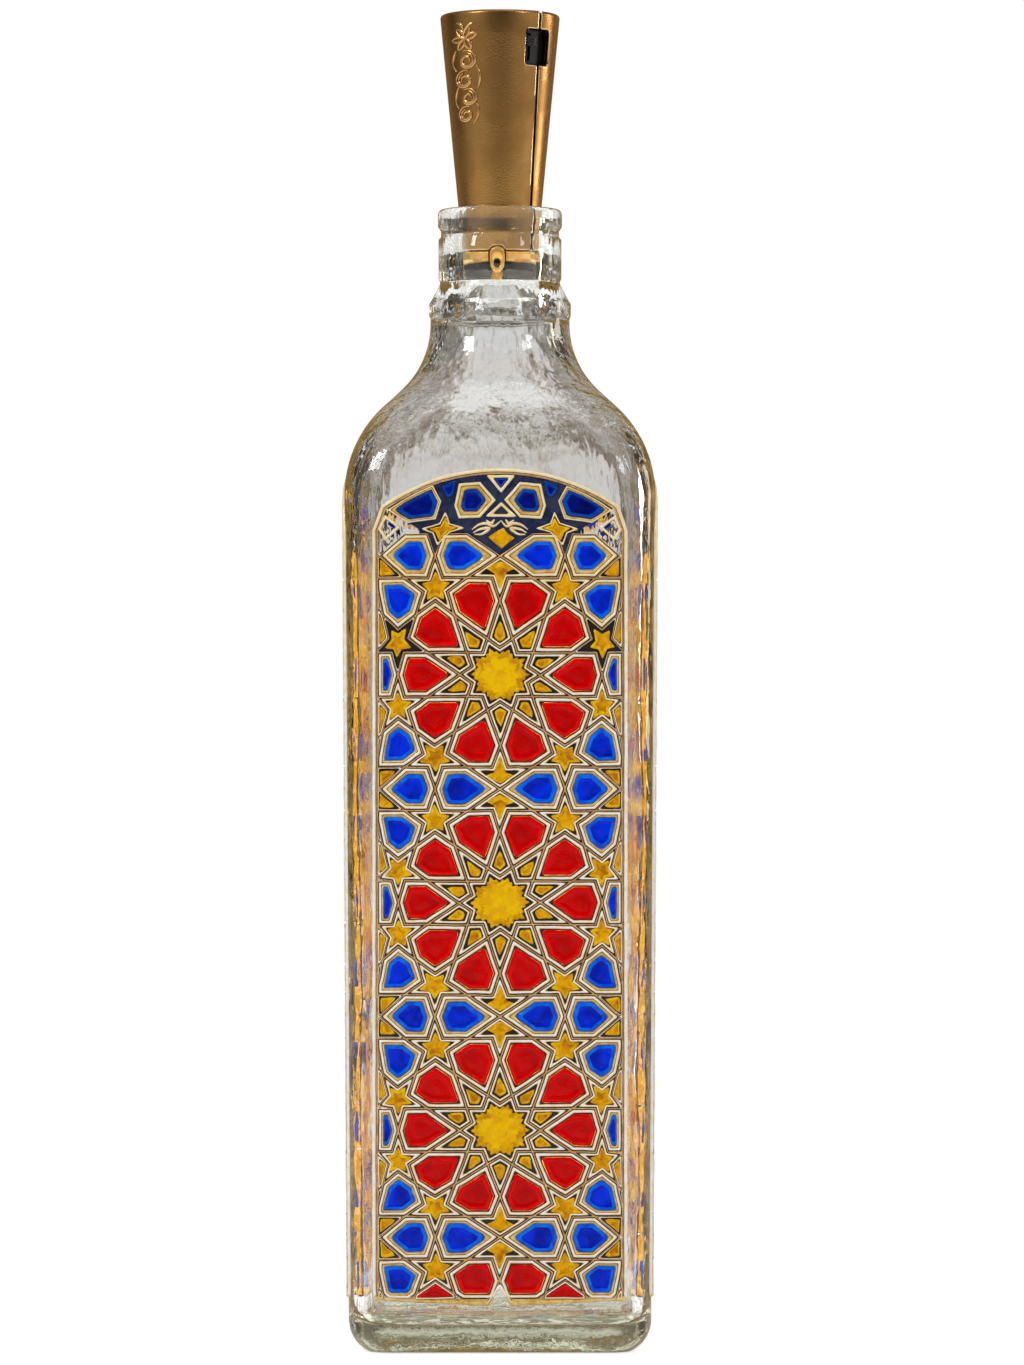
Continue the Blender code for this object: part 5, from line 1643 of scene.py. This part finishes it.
@dataclass
class StopperShell:
    """The shell and the battery cover, with the switch window across their seam."""

    taper: Taper
    window_width: float = 0.0078
    window_height: float = 0.0091
    window_corner: float = 0.0009
    window_below_top: float = 0.0092
    window_azimuth: float = math.radians(43)
    window_depth: Pair = (-0.002, 0.0035)
    lamp_offset: float = 0.0006
    lamp_half: float = 0.0018
    lamp_corner: float = 0.0014
    lamp_depth: Pair = (-0.0125, -0.0071)
    lamp_heights: Pair = (-0.0012, 0.00495)
    edge: float = 0.0003
    past: float = 0.002

    def cutter(self, shop: Workshop, build: bmesh.types.BMesh, place: Matrix) -> bpy.types.Object:
        """Return a cutter with the built mesh."""
        mesh = bpy.data.meshes.new("cutter")
        build.to_mesh(mesh)
        build.free()
        item = linked("cutter", mesh)
        item.matrix_world = place
        shop.dress(item, [Palette.BLACK])
        return item

    def block(self, shop: Workshop, low: Point, high: Point, place: Matrix, corner: float = 0.0) -> bpy.types.Object:
        """Return a box, its edges along the local Y axis rounded where a corner is given."""
        build = bmesh.new()
        bmesh.ops.create_cube(build, size=1)
        bmesh.ops.scale(build, vec=[b - a for a, b in zip(low, high)], verts=build.verts)
        bmesh.ops.translate(build, vec=[(a + b) / 2 for a, b in zip(low, high)], verts=build.verts)
        if corner:
            edges = [e for e in build.edges if abs((e.verts[0].co - e.verts[1].co).normalized().y) > 0.9]
            bmesh.ops.bevel(build, geom=edges, offset=corner, segments=6, profile=0.5, affect="EDGES")
        return self.cutter(shop, build, place)

    def wedge(self, shop: Workshop, margin: float, keep_cover: bool) -> bpy.types.Object:
        """Return the cutter that takes away one side of the seam."""
        t = self.taper
        far = t.top_radius + self.past
        low, high = -self.past, t.length + self.past
        near_low, near_high = t.seam(low) + margin, t.seam(high) + margin
        if keep_cover:
            outline = [(-far, low), (near_low, low), (near_high, high), (-far, high)]
        else:
            outline = [(near_low, low), (far + self.past, low), (far + self.past, high), (near_high, high)]
        loft = Loft()
        rings = loft.rings([[(x, y, t.base + height) for x, height in outline] for y in (far, -far)])
        loft.face(reversed(rings[0]))
        loft.face(rings[1])
        mesh = bpy.data.meshes.new("wedge")
        mesh.from_pydata(loft.points, [], loft.faces)
        build = bmesh.new()
        build.from_mesh(mesh)
        bpy.data.meshes.remove(mesh)
        bmesh.ops.recalc_face_normals(build, faces=build.faces)
        return self.cutter(shop, build, Matrix.Identity(4))

    def revolved(self, shop: Workshop, name: str) -> bpy.types.Object:
        """Return the whole tapered shell, open below, before its seam is cut."""
        t = self.taper
        ceiling, bevel = t.length - t.shell_wall, t.length - t.top_bevel
        loft = Loft()
        profile = [
            (t.radius(ceiling) - t.shell_wall, ceiling),
            (t.radius(t.shell_floor) - t.shell_wall, t.shell_floor),
            (t.radius(t.shell_floor), t.shell_floor),
        ]
        steps = 11
        for i in range(1, steps + 1):
            height = t.shell_floor + (bevel - t.shell_floor) * i / steps
            profile.append((t.radius(height), height))
        steps = 5
        for i in range(1, steps + 1):
            angle = QUARTER * i / steps
            inset = t.top_bevel * (1 - math.cos(angle))
            profile.append((t.radius(t.length) - 0.0001 - inset, bevel + t.top_bevel * math.sin(angle)))
        numbers = loft.rings([t.circle(r, h) for r, h in profile])
        loft.fan(numbers[0], (0, 0, t.base + ceiling), flip=True)
        loft.fan(numbers[-1], (0, 0, t.top))
        return shop.piece(name, loft.points, loft.faces, [Palette.SHELL, Palette.SHELL_EDGE_HIGHLIGHT])

    def window(self, shop: Workshop) -> bpy.types.Object:
        """Return the rounded cutter of the switch window."""
        half_w, half_h = self.window_width / 2, self.window_height / 2
        place = self.taper.window_frame(self.window_azimuth, self.window_below_top)
        front, back = self.window_depth
        return self.block(shop, (-half_w, front, -half_h), (half_w, back, half_h), place, self.window_corner)

    def pocket(self, shop: Workshop) -> bpy.types.Object:
        """Return the rounded cutter of the lamp's notch."""
        front, back = self.lamp_depth
        foot, head = (self.taper.base + height for height in self.lamp_heights)
        left, right = -self.lamp_offset - self.lamp_half, -self.lamp_offset + self.lamp_half
        return self.block(shop, (left, front, foot), (right, back, head), Matrix.Identity(4), self.lamp_corner)

    def build(self, shop: Workshop) -> None:
        """Make the shell and the cover with rounded edges in a painted highlight, and black strips of painted shade in
        their seam.
        """
        half = self.taper.seam_gap / 2
        for name, body, node, margin in (
            ("stopper_shell", Body.STOPPER, "housing_shell", -half),
            ("stopper_cover", Body.COVER, "battery_cover", half),
        ):
            item = self.revolved(shop, name)
            cutters = [self.wedge(shop, margin, body is Body.COVER), self.window(shop)]
            if body is Body.STOPPER:
                cutters.append(self.pocket(shop))
            shop.carve(item, cutters)
            # Slot 1 of the rounded edges takes the painted highlight.
            shop.soften(item, self.edge, 1)
            shop.capped(item, self.taper.top)
            shop.hand_over(item, body, Slot.COPPER, node)
        # Black strips deep in the seam: painted shade that keeps the gap between shell and cover dark.
        for name, body, across, deep in (
            ("seam_shade_shell", Body.STOPPER, (-half, 0.00005), (0.00035, 0.0008)),
            ("seam_shade_cover", Body.COVER, (-0.00005, half), (0.0009, 0.00135)),
        ):
            shop.hand_over(self.seam_shade(shop, name, across, deep), body, Slot.BLACK)

    def seam_shade(self, shop: Workshop, name: str, across: Pair, deep: Pair) -> bpy.types.Object:
        """Return black strips in the seam, in front and behind, clear of the window: painted shade in the gap.

        Args:
            shop: The workshop.
            name: The piece's name.
            across: How far each side of the strip is from the seam's middle.
            deep: How far the strip's faces are below the shell's surface.

        Returns:
            The strips as one object.
        """
        t = self.taper
        middle = t.length - self.window_below_top
        gap_low, gap_high = middle - self.window_height / 2 - 0.0001, middle + self.window_height / 2 + 0.0001
        top = t.length - 0.0005
        steps = 16
        loft = Loft()
        for way, low, high in ((-1, t.shell_floor, gap_low), (-1, gap_high, top), (1, t.shell_floor, top)):
            rings = []
            for i in range(steps + 1):
                height = low + (high - low) * i / steps
                ring = []
                for x_share, d in ((0, 0), (1, 0), (1, 1), (0, 1)):
                    x = t.seam(height) + across[x_share]
                    radius = t.radius(height) - deep[d]
                    ring.append((x, way * math.sqrt(radius * radius - x * x), t.base + height))
                rings.append(ring)
            numbers = loft.rings(rings)
            loft.face(reversed(numbers[0]))
            loft.face(numbers[-1])
        return shop.piece(name, loft.points, loft.faces, [Palette.BLACK], loft.slots)


@dataclass
class ScrollRelief:
    """A generic scroll of leaves, embossed on the stopper's upper left."""

    taper: Taper
    thick: float = 0.00036
    sides: int = 8
    top: float = 0.0622
    flower: Pair = (-8.9, -4.6)
    petal: float = 3.2
    petals: tuple[float, ...] = (20, 75, 130, 185, 240, 300)
    petal_bows: Pair = (0.65, -0.6)
    # Both ends of a stroke and how far it bows.
    stems: tuple[tuple[float, ...], ...] = ((-10.9, -0.6, -9.4, -2.4, 0.5), (-7.0, -0.9, -8.6, -2.6, -0.5))
    leaves: tuple[tuple[float, ...], ...] = (
        (-11.2, -7.6, -11.0, -12.6, -0.7), (-6.0, -11.4, -5.6, -17.0, 0.7),
        (-10.4, -16.6, -10.3, -22.0, -0.7), (-6.0, -20.6, -6.6, -25.8, 0.8),
    )
    # Centre, first bearing, turn, and first and last radius of a curl.
    curls: tuple[tuple[float, ...], ...] = (
        (-8.4, -10.1, 110, -470, 2.6, 0.7), (-8.9, -14.9, 70, 470, 2.5, 0.7),
        (-7.9, -19.4, 120, -450, 2.4, 0.65), (-8.4, -23.6, 70, 450, 2.2, 0.6),
    )

    def placed(self, x: float, height: float) -> Point:
        """Return a point of the stopper's front at a distance from its middle and a height."""
        radius = self.taper.radius(height) + self.thick * 0.25
        angle = math.asin(max(min(x / radius, 0.98), -0.98))
        return radius * math.sin(angle), -radius * math.cos(angle), self.taper.base + height

    @staticmethod
    def curl(cx: float, cz: float, start: float, turn: float, wide: float, narrow: float) -> list[Pair]:
        """Return a spiral stroke round a centre."""
        stroke = []
        count = 26
        for i in range(count + 1):
            t = i / count
            stroke.append(polar(wide + (narrow - wide) * t, start + turn * t, (cx, cz)))
        return stroke

    @staticmethod
    def sweep(x0: float, z0: float, x1: float, z1: float, bow: float) -> list[Pair]:
        """Return a bowed stroke between two points."""
        stroke = []
        count = 10
        length = math.hypot(x1 - x0, z1 - z0)
        nx, nz = -(z1 - z0) / length, (x1 - x0) / length
        for i in range(count + 1):
            t = i / count
            side = bow * 4 * t * (1 - t)
            stroke.append((x0 + (x1 - x0) * t + nx * side, z0 + (z1 - z0) * t + nz * side))
        return stroke

    def strokes(self) -> list[list[Pair]]:
        """Return the scroll's strokes as (x, height) pairs in millimetres, down from its top."""
        strokes = []
        for bearing in self.petals:
            tip = polar(self.petal, bearing, self.flower)
            strokes += [self.sweep(*self.flower, *tip, bow) for bow in self.petal_bows]
        strokes += [self.sweep(*stem) for stem in self.stems]
        for thinner in (0.0, 0.8):
            for cx, cz, start, turn, wide, narrow in self.curls:
                start += math.copysign(40 * thinner, turn)
                strokes.append(self.curl(cx, cz, start, turn, wide - thinner, narrow))
        return strokes + [self.sweep(*leaf) for leaf in self.leaves]

    def build(self, shop: Workshop) -> None:
        """Make the strokes as thin rounded ridges that swell in the middle."""
        loft = Loft()
        for stroke in self.strokes():
            points = [Vector(self.placed(x * MM, self.top + z * MM)) for x, z in stroke]
            rings = []
            last = len(points) - 1
            for i, point in enumerate(points):
                along = (points[min(i + 1, last)] - points[max(i - 1, 0)]).normalized()
                out = Vector((point.x, point.y, 0)).normalized()
                across = along.cross(out).normalized()
                size = self.thick * (0.45 + 0.75 * math.sin(math.pi * min(max(i / last, 0.04), 0.96)))
                ring = []
                for k in range(self.sides):
                    angle = math.tau * k / self.sides
                    ring.append(point + across * size * math.cos(angle) + out * size * 0.8 * math.sin(angle))
                rings.append(ring)
            numbers = loft.rings(rings)
            loft.fan(numbers[0], points[0], flip=True)
            loft.fan(numbers[-1], points[-1])
        item = shop.piece("scroll_relief", loft.points, loft.faces, [Palette.RELIEF_HIGHLIGHTED], smooth_degrees=80)
        shop.hand_over(item, Body.STOPPER, Slot.COPPER)


@dataclass
class LampEnd:
    """The plug's lower end: its lamp, ring and gland."""

    taper: Taper
    offset: float = 0.0006
    width: float = 0.0032
    low: float = -0.0004
    high: float = 0.0047
    lens_width: float = 0.0017
    lens_low: float = 0.0003
    lens_high: float = 0.0022
    proud: float = 0.0009
    depth: float = 0.0016
    count: int = 40

    def stadium(self, width: float, low: float, high: float, y: float) -> list[Point]:
        """Return an upright rounded outline between two heights at a depth."""
        half_w, half_h = width / 2, (high - low) / 2
        radius = min(half_w, half_h) * 0.96
        middle = self.taper.base + (low + high) / 2
        ring = []
        for i in range(self.count):
            angle = math.tau * i / self.count
            c, s = math.cos(angle), math.sin(angle)
            x = -self.offset + radius * c + math.copysign(half_w - radius, c)
            ring.append((x, y, middle + radius * s + math.copysign(half_h - radius, s)))
        return ring

    def build(self, shop: Workshop) -> None:
        """Make the lamp's domed gold holder and its small dark lens."""
        front = -(self.taper.end_radius + self.proud)
        back = front + self.proud + self.depth
        loft = Loft()
        outer = (self.width, self.low, self.high)
        lens = (self.lens_width, self.lens_low, self.lens_high)

        def between(share: float) -> tuple[float, ...]:
            """Return an outline's width and heights, from the holder's to the lens's."""
            return tuple(a + (b - a) * share for a, b in zip(outer, lens))

        profile = (
            (0.0, back), (0.0, front + 0.0006), (0.04, front + 0.0003), (0.14, front + 0.0001), (0.3, front),
            (0.5, front + 0.00002), (0.75, front + 0.0001), (0.93, front + 0.00025), (1.0, front + 0.0005), (1.0, back),
        )
        loft.rings([self.stadium(*between(share), y) for share, y in profile], closed=True)
        holder = shop.piece("lamp_holder", loft.points, loft.faces, [Palette.GOLD], smooth_degrees=60)
        shop.hand_over(holder, Body.STOPPER, Slot.GOLD, "lamp_bezel")
        loft = Loft()
        fit = 0.00003
        dome = ((fit, back), (fit, front + 0.0006), (0.0002, front + 0.00042), (0.0005, front + 0.0003))
        numbers = loft.rings([
            self.stadium(self.lens_width - 2 * i, self.lens_low + i, self.lens_high - i, y) for i, y in dome
        ])
        height = self.taper.base + (self.lens_low + self.lens_high) / 2
        loft.fan(numbers[-1], (-self.offset, front + 0.00027, height))
        loft.fan(numbers[0], (-self.offset, back, height), flip=True)
        item = shop.piece("lamp_lens", loft.points, loft.faces, [Palette.LAMP], smooth_degrees=70)
        shop.hand_over(item, Body.STOPPER, Slot.LAMP, "lamp_led")


@dataclass
class SlideSwitch:
    """The switch behind the window and its knob."""

    shell: StopperShell
    body_recess: float = 0.0011
    body_width: float = 0.0080
    body_height: float = 0.0098
    body_depth: float = 0.0035
    knob_width: float = 0.0032
    knob_height: float = 0.0025
    knob_recess: float = 0.0003
    knob_side: float = 0.0004
    knob_below: float = 0.0019
    track_across: Pair = (-0.0030, -0.0006)
    track_half: float = 0.0034
    track_depth: float = 0.0008
    track_corner: float = 0.0004
    groove_half: float = 0.00018
    groove_depth: float = 0.0003
    past: float = 0.001

    def build(self, shop: Workshop) -> None:
        """Make the switch's body with its slot and the ridged knob."""
        taper = self.shell.taper
        place = taper.window_frame(self.shell.window_azimuth, self.shell.window_below_top)
        front = taper.shell_wall + self.body_recess
        half_w, half_h = self.body_width / 2, self.body_height / 2
        block = self.shell.block
        body = block(shop, (-half_w, front, -half_h), (half_w, front + self.body_depth, half_h), place)
        body.name = body.data.name = "switch_case"
        left, right = self.track_across
        track = block(
            shop, (left, front - self.past, -self.track_half), (right, front + self.track_depth, self.track_half),
            place, self.track_corner,
        )
        shop.carve(body, [track])
        shop.dress(body, [Palette.BLACK])
        shop.soften(body, 0.00025)
        shop.hand_over(body, Body.STOPPER, Slot.BLACK, "switch_body")
        top = self.shell.window_height / 2 - self.knob_below
        low = (-self.knob_side - self.knob_width, self.knob_recess, top - self.knob_height)
        high = (-self.knob_side, front - taper.gap, top)
        knob = block(shop, low, high, place)
        knob.name = knob.data.name = "switch_slider"
        grooves = []
        for share in (0.25, 0.5, 0.75):
            z = low[2] + self.knob_height * share
            start = (low[0] - self.past, -self.past, z - self.groove_half)
            end = (high[0] + self.past, self.knob_recess + self.groove_depth, z + self.groove_half)
            grooves.append(block(shop, start, end, place))
        shop.carve(knob, grooves)
        shop.dress(knob, [Palette.BLACK])
        shop.soften(knob, 0.00012)
        shop.hand_over(knob, Body.KNOB, Slot.BLACK, "switch_knob")


@dataclass
class CarriedNodes:
    """The CAD nodes whose shape is right, with better materials."""

    finishes: dict[str, Finish] = field(default_factory=lambda: {
        "plug_ring": Palette.GOLD,
        "plug_base": Palette.DARK_BAND,
        "wire_gland": Palette.GOLD,
        "base_screw": Palette.STEEL,
        "battery_tray": Palette.TRAY,
        "cell_lower": Palette.STEEL,
        "cell_middle": Palette.STEEL,
        "cell_upper": Palette.STEEL,
        "contact_spring": Palette.STEEL,
        "contact_plate": Palette.STEEL,
        "circuit_board": Palette.BOARD,
        "driver_chip": Palette.BLACK,
    })

    def dress(self, shop: Workshop) -> None:
        """Give each node its material."""
        for node, finish in self.finishes.items():
            shop.redress(node, finish)


@dataclass
class Studio:
    """The floor, the lights, the background and the camera."""

    distance: float = 1.5
    eye: float = 0.1622
    lens: float = 155.7
    shift: Pair = (0.0088, 0.0128)
    front_levels: tuple[Pair, ...] = (
        (0.0, 0.35), (0.05, 0.55), (0.12, 0.40), (0.22, 0.40), (0.33, 0.14), (0.5, 0.03),
        (0.66, 0.08), (0.74, 0.30), (0.82, 0.46), (0.90, 0.55), (0.95, 0.95), (0.98, 0.95), (1.0, 0.9),
    )
    back_levels: tuple[Pair, ...] = (
        (0.0, 0.20), (0.06, 0.55), (0.11, 0.06), (0.18, 0.7), (0.26, 0.10), (0.36, 0.45), (0.44, 0.80),
        (0.56, 0.80), (0.64, 0.45), (0.74, 0.10), (0.82, 0.7), (0.89, 0.06), (0.94, 0.7), (1.0, 0.5),
    )
    columns: Stops = (
        (0.24, (0.35, 0.34, 0.30)), (0.28, (0.03, 0.03, 0.015)), (0.305, (0.75, 0.68, 0.48)),
        (0.32, (0.05, 0.045, 0.03)), (0.35, (0.02, 0.018, 0.01)), (0.37, (1.0, 1.0, 1.0)),
        (0.385, (0.10, 0.09, 0.07)), (0.42, (0.36, 0.23, 0.06)), (0.45, (0.012, 0.012, 0.006)),
        (0.60, (0.015, 0.014, 0.008)), (0.612, (1.0, 1.0, 1.0)), (0.635, (0.85, 0.9, 1.0)),
        (0.65, (0.02, 0.02, 0.014)), (0.74, (0.015, 0.014, 0.008)), (0.755, (0.80, 0.46, 0.10)),
        (0.77, (0.02, 0.018, 0.01)), (0.85, (0.03, 0.026, 0.018)), (1.0, (0.06, 0.055, 0.04)),
    )
    rows: Stops = (
        (0.18, (0.5, 0.49, 0.46)), (0.22, (0.04, 0.035, 0.02)), (0.26, (1.0, 1.0, 1.0)), (0.29, (0.30, 0.28, 0.22)),
        (0.33, (0.02, 0.02, 0.012)), (0.38, (0.80, 0.56, 0.20)), (0.41, (0.95, 0.97, 1.0)), (0.45, (0.05, 0.045, 0.03)),
        (0.55, (0.55, 0.56, 0.52)), (0.60, (0.03, 0.026, 0.016)), (0.68, (0.9, 0.9, 0.88)), (0.75, (0.6, 0.6, 0.58)),
    )
    sky: Stops = (
        (0.40, (0.05, 0.045, 0.03)), (0.46, (0.12, 0.11, 0.09)), (0.49, (0.55, 0.50, 0.40)), (0.51, (1.0, 1.0, 1.0)),
        (0.53, (0.9, 0.94, 1.0)), (0.56, (0.10, 0.09, 0.07)), (0.60, (0.35, 0.24, 0.10)), (0.66, (0.9, 0.9, 0.9)),
    )
    flecks: Stops = (
        (0.36, (0.02, 0.02, 0.015)), (0.43, (0.09, 0.08, 0.05)), (0.465, (0.33, 0.30, 0.24)),
        (0.49, (1.0, 1.0, 1.0)), (0.505, (0.80, 0.56, 0.18)), (0.53, (0.06, 0.05, 0.025)),
        (0.57, (0.20, 0.18, 0.14)), (0.60, (0.85, 0.93, 1.0)), (0.625, (0.60, 0.38, 0.10)), (0.68, (0.04, 0.035, 0.02)),
    )
    # Where each part of the studio begins and ends, and how much of it is seen there.
    back_share: Ease = (-0.15, 0.25, 0.0, 1.0)
    fleck_share: Ease = (0.04, 0.17, 0.0, 0.95)
    dark_share: Ease = (0.10, 0.22, 0.0, 0.6)
    dark_fade: Ease = (0.42, 0.56, 1.0, 0.25)
    column_share: Ease = (0.24, 0.32, 0.0, 0.92)
    column_fade: Ease = (0.45, 0.70, 1.0, 0.0)
    row_share: Ease = (0.16, 0.24, 0.0, 0.75)
    row_fade: Ease = (0.20, 0.40, 1.0, 0.0)
    mirror_share: Ease = (0.3, 0.8, 0.0, 0.85)
    sky_share: Ease = (0.58, 0.70, 0.0, 1.0)
    sway: Ease = (0.3, 0.7, -0.04, 0.04)
    dark: Colour = (0.035, 0.03, 0.018)
    in_mirrors: Colour = (0.30, 0.20, 0.09)
    dull: Colour = (0.56, 0.56, 0.56)
    floor_colour: Colour = (0.78, 0.78, 0.78)
    floor_second: Colour = (0.75, 0.75, 0.75)
    floor_reach: float = 3.0
    floor_steps: int = 24
    floor_depth: float = 0.00015
    floor_flecks: Ease = (0.46, 0.54, 0.03, 1.3)
    floor_gloss: float = 0.3
    floor_level: float = 0.66
    aim: Point = (0.0, 0.0, 0.17)
    # Name, place, size, power and colour of each soft light.
    lamps: tuple[tuple[str, Point, Pair, float, Colour], ...] = (
        ("key", (-0.9, -0.7, 1.15), (0.3, 0.5), 7.3, (0.90, 0.95, 1.0)),
        ("side", (0.85, -0.75, 1.1), (0.22, 0.4), 2.6, (0.92, 0.96, 1.0)),
        ("rim", (1.2, 0.45, 0.45), (0.24, 0.7), 3.2, (1.0, 0.9, 0.76)),
        ("top", (0.0, 0.1, 1.1), (0.4, 0.4), 0.8, (1.0, 1.0, 1.0)),
    )

    def camera(self) -> None:
        """Place the camera at the photograph's viewing angle."""
        data = bpy.data.cameras.new("camera")
        data.lens = self.lens
        data.sensor_width = 36
        data.shift_x, data.shift_y = self.shift
        data.clip_end = 50
        item = linked("camera", data)
        item.location = (0, -self.distance, self.eye)
        item.rotation_euler = (QUARTER, 0, 0)
        bpy.context.scene.camera = item

    def lights(self) -> None:
        """Hang the soft lights, each turned to the middle of the bottle."""
        for name, place, size, power, colour in self.lamps:
            data = bpy.data.lights.new(name, "AREA")
            data.shape = "RECTANGLE"
            data.size, data.size_y = size
            data.energy = power
            data.color = colour
            item = linked(name, data)
            item.location = place
            item.rotation_euler = (Vector(self.aim) - Vector(place)).to_track_quat("-Z", "Y").to_euler()

    def surroundings(self, graph: NodeGraph, mirrored: bpy.types.NodeSocket) -> bpy.types.NodeSocket:
        """Return a socket with what glass and metal see of the studio in each direction.

        Args:
            graph: The world's nodes.
            mirrored: A socket that is 1 for plain reflections.

        Returns:
            The colour's socket.
        """
        direction = graph.add("TexCoord").outputs["Generated"]
        x, y, z = graph.parts(direction)
        back = graph.between(y, *self.back_share)
        across = graph.between(x, -1.0, 1.0, shape="LINEAR")
        seen = graph.mix(back, graph.ramp(across, self.front_levels), graph.ramp(across, self.back_levels))
        off = graph.length(graph.joined(x, 0.0, z))
        flecks = graph.ramp(graph.cloud(direction, 36.0, 4.0, Roughness=0.6), self.flecks)
        seen = graph.mix(graph.product(graph.between(off, *self.fleck_share), back), seen, flecks)
        side, rise = graph.math("ABSOLUTE", x), graph.math("ABSOLUTE", z)
        sway = graph.between(graph.cloud(direction, 9.0, 3.0), *self.sway, "LINEAR")
        columns = graph.ramp(graph.math("ADD", side, sway), self.columns)
        rows = graph.ramp(graph.math("ADD", rise, sway), self.rows)
        for start, share, end, fade, colour in (
            (off, self.dark_share, off, self.dark_fade, self.dark),
            (side, self.column_share, rise, self.column_fade, columns),
            (rise, self.row_share, side, self.row_fade, rows),
        ):
            covered = graph.product(graph.between(start, *share), graph.between(end, *fade), back)
            seen = graph.mix(covered, seen, colour)
        seen = graph.mix(graph.product(mirrored, graph.between(y, *self.mirror_share)), seen, self.in_mirrors)
        sky = graph.ramp(graph.cloud(direction, 7.0, 4.0), self.sky)
        return graph.mix(graph.between(z, *self.sky_share), seen, sky)

    def world(self) -> None:
        """Make the white background and the soft studio that glass and metal see."""
        world = bpy.data.worlds.new("studio")
        world.use_nodes = True
        bpy.context.scene.world = world
        world.node_tree.nodes.clear()
        graph = NodeGraph(world.node_tree)
        path = graph.add("LightPath").outputs
        glossy, through = path["Is Glossy Ray"], path["Is Transmission Ray"]
        seen = self.surroundings(graph, graph.math("SUBTRACT", glossy, through))
        other = graph.mix(graph.math("MAXIMUM", glossy, through), self.dull, seen)
        colour = graph.mix(path["Is Camera Ray"], other, (1.0, 1.0, 1.0))
        background = graph.add("Background", {"Color": colour, "Strength": 1.0})
        graph.add("OutputWorld", {"Surface": background.outputs[0]})

    def floor(self) -> None:
        """Lay the pale floor, which looks white to the camera but for the object's shadow."""
        marks = [self.floor_reach * (2 * i / self.floor_steps - 1) for i in range(self.floor_steps + 1)]
        loft = Loft()
        loft.sheet([[(x, y, -self.floor_depth) for y in marks] for x in marks], flip=True)
        mesh = bpy.data.meshes.new("floor")
        mesh.from_pydata(loft.points, [], loft.faces)
        item = linked("floor", mesh)
        material, graph, shader = NodeGraph.shading("pale_floor")
        mottled = graph.group(EFFECTS.mottle, {
            "Colour": (*self.floor_colour, 1), "Second": (*self.floor_second, 1),
            "Scale": 30.0, "Low": 0.4, "High": 0.6,
        })
        path = graph.add("LightPath").outputs
        place = graph.place()
        x, y, _ = graph.parts(graph.add("VectorMath", {0: place}, operation="NORMALIZE").outputs["Vector"])
        spread = graph.joined(x, y, graph.math("LOGARITHM", graph.length(place), math.e))
        flecks = graph.between(graph.cloud(spread, 11.0, 4.0), *self.floor_flecks)
        through = graph.product(path["Is Transmission Ray"], flecks)
        seen = graph.math("MAXIMUM", through, path["Is Camera Ray"])
        seen = graph.math("MAXIMUM", seen, graph.product(path["Is Glossy Ray"], self.floor_gloss))
        graph.feed(shader, {
            "Base Color": mottled["Colour"],
            "Roughness": 0.9,
            "Specular IOR Level": 0.0,
            "Emission Color": (1, 1, 1, 1),
            "Emission Strength": graph.product(seen, self.floor_level),
        })
        mesh.materials.append(material)

    def build(self) -> None:
        """Set up the whole studio."""
        bpy.context.scene.view_settings.view_transform = "Standard"
        self.world()
        self.floor()
        self.lights()
        self.camera()


def main() -> None:
    """Build the visual model and its studio."""
    logging.basicConfig(level=logging.INFO, format="%(message)s")
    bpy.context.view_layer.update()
    shop = Workshop()
    glass = GlassBottle()
    glass.build(shop)
    PaintedPanel(glass).build(shop)
    taper = Taper()
    shell = StopperShell(taper)
    shell.build(shop)
    ScrollRelief(taper).build(shop)
    LampEnd(taper).build(shop)
    SlideSwitch(shell).build(shop)
    CarriedNodes().dress(shop)
    Studio().build()
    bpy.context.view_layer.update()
    LOG.info("%d pieces placed", len(shop.placed))


if __name__ == "__main__":
    main()
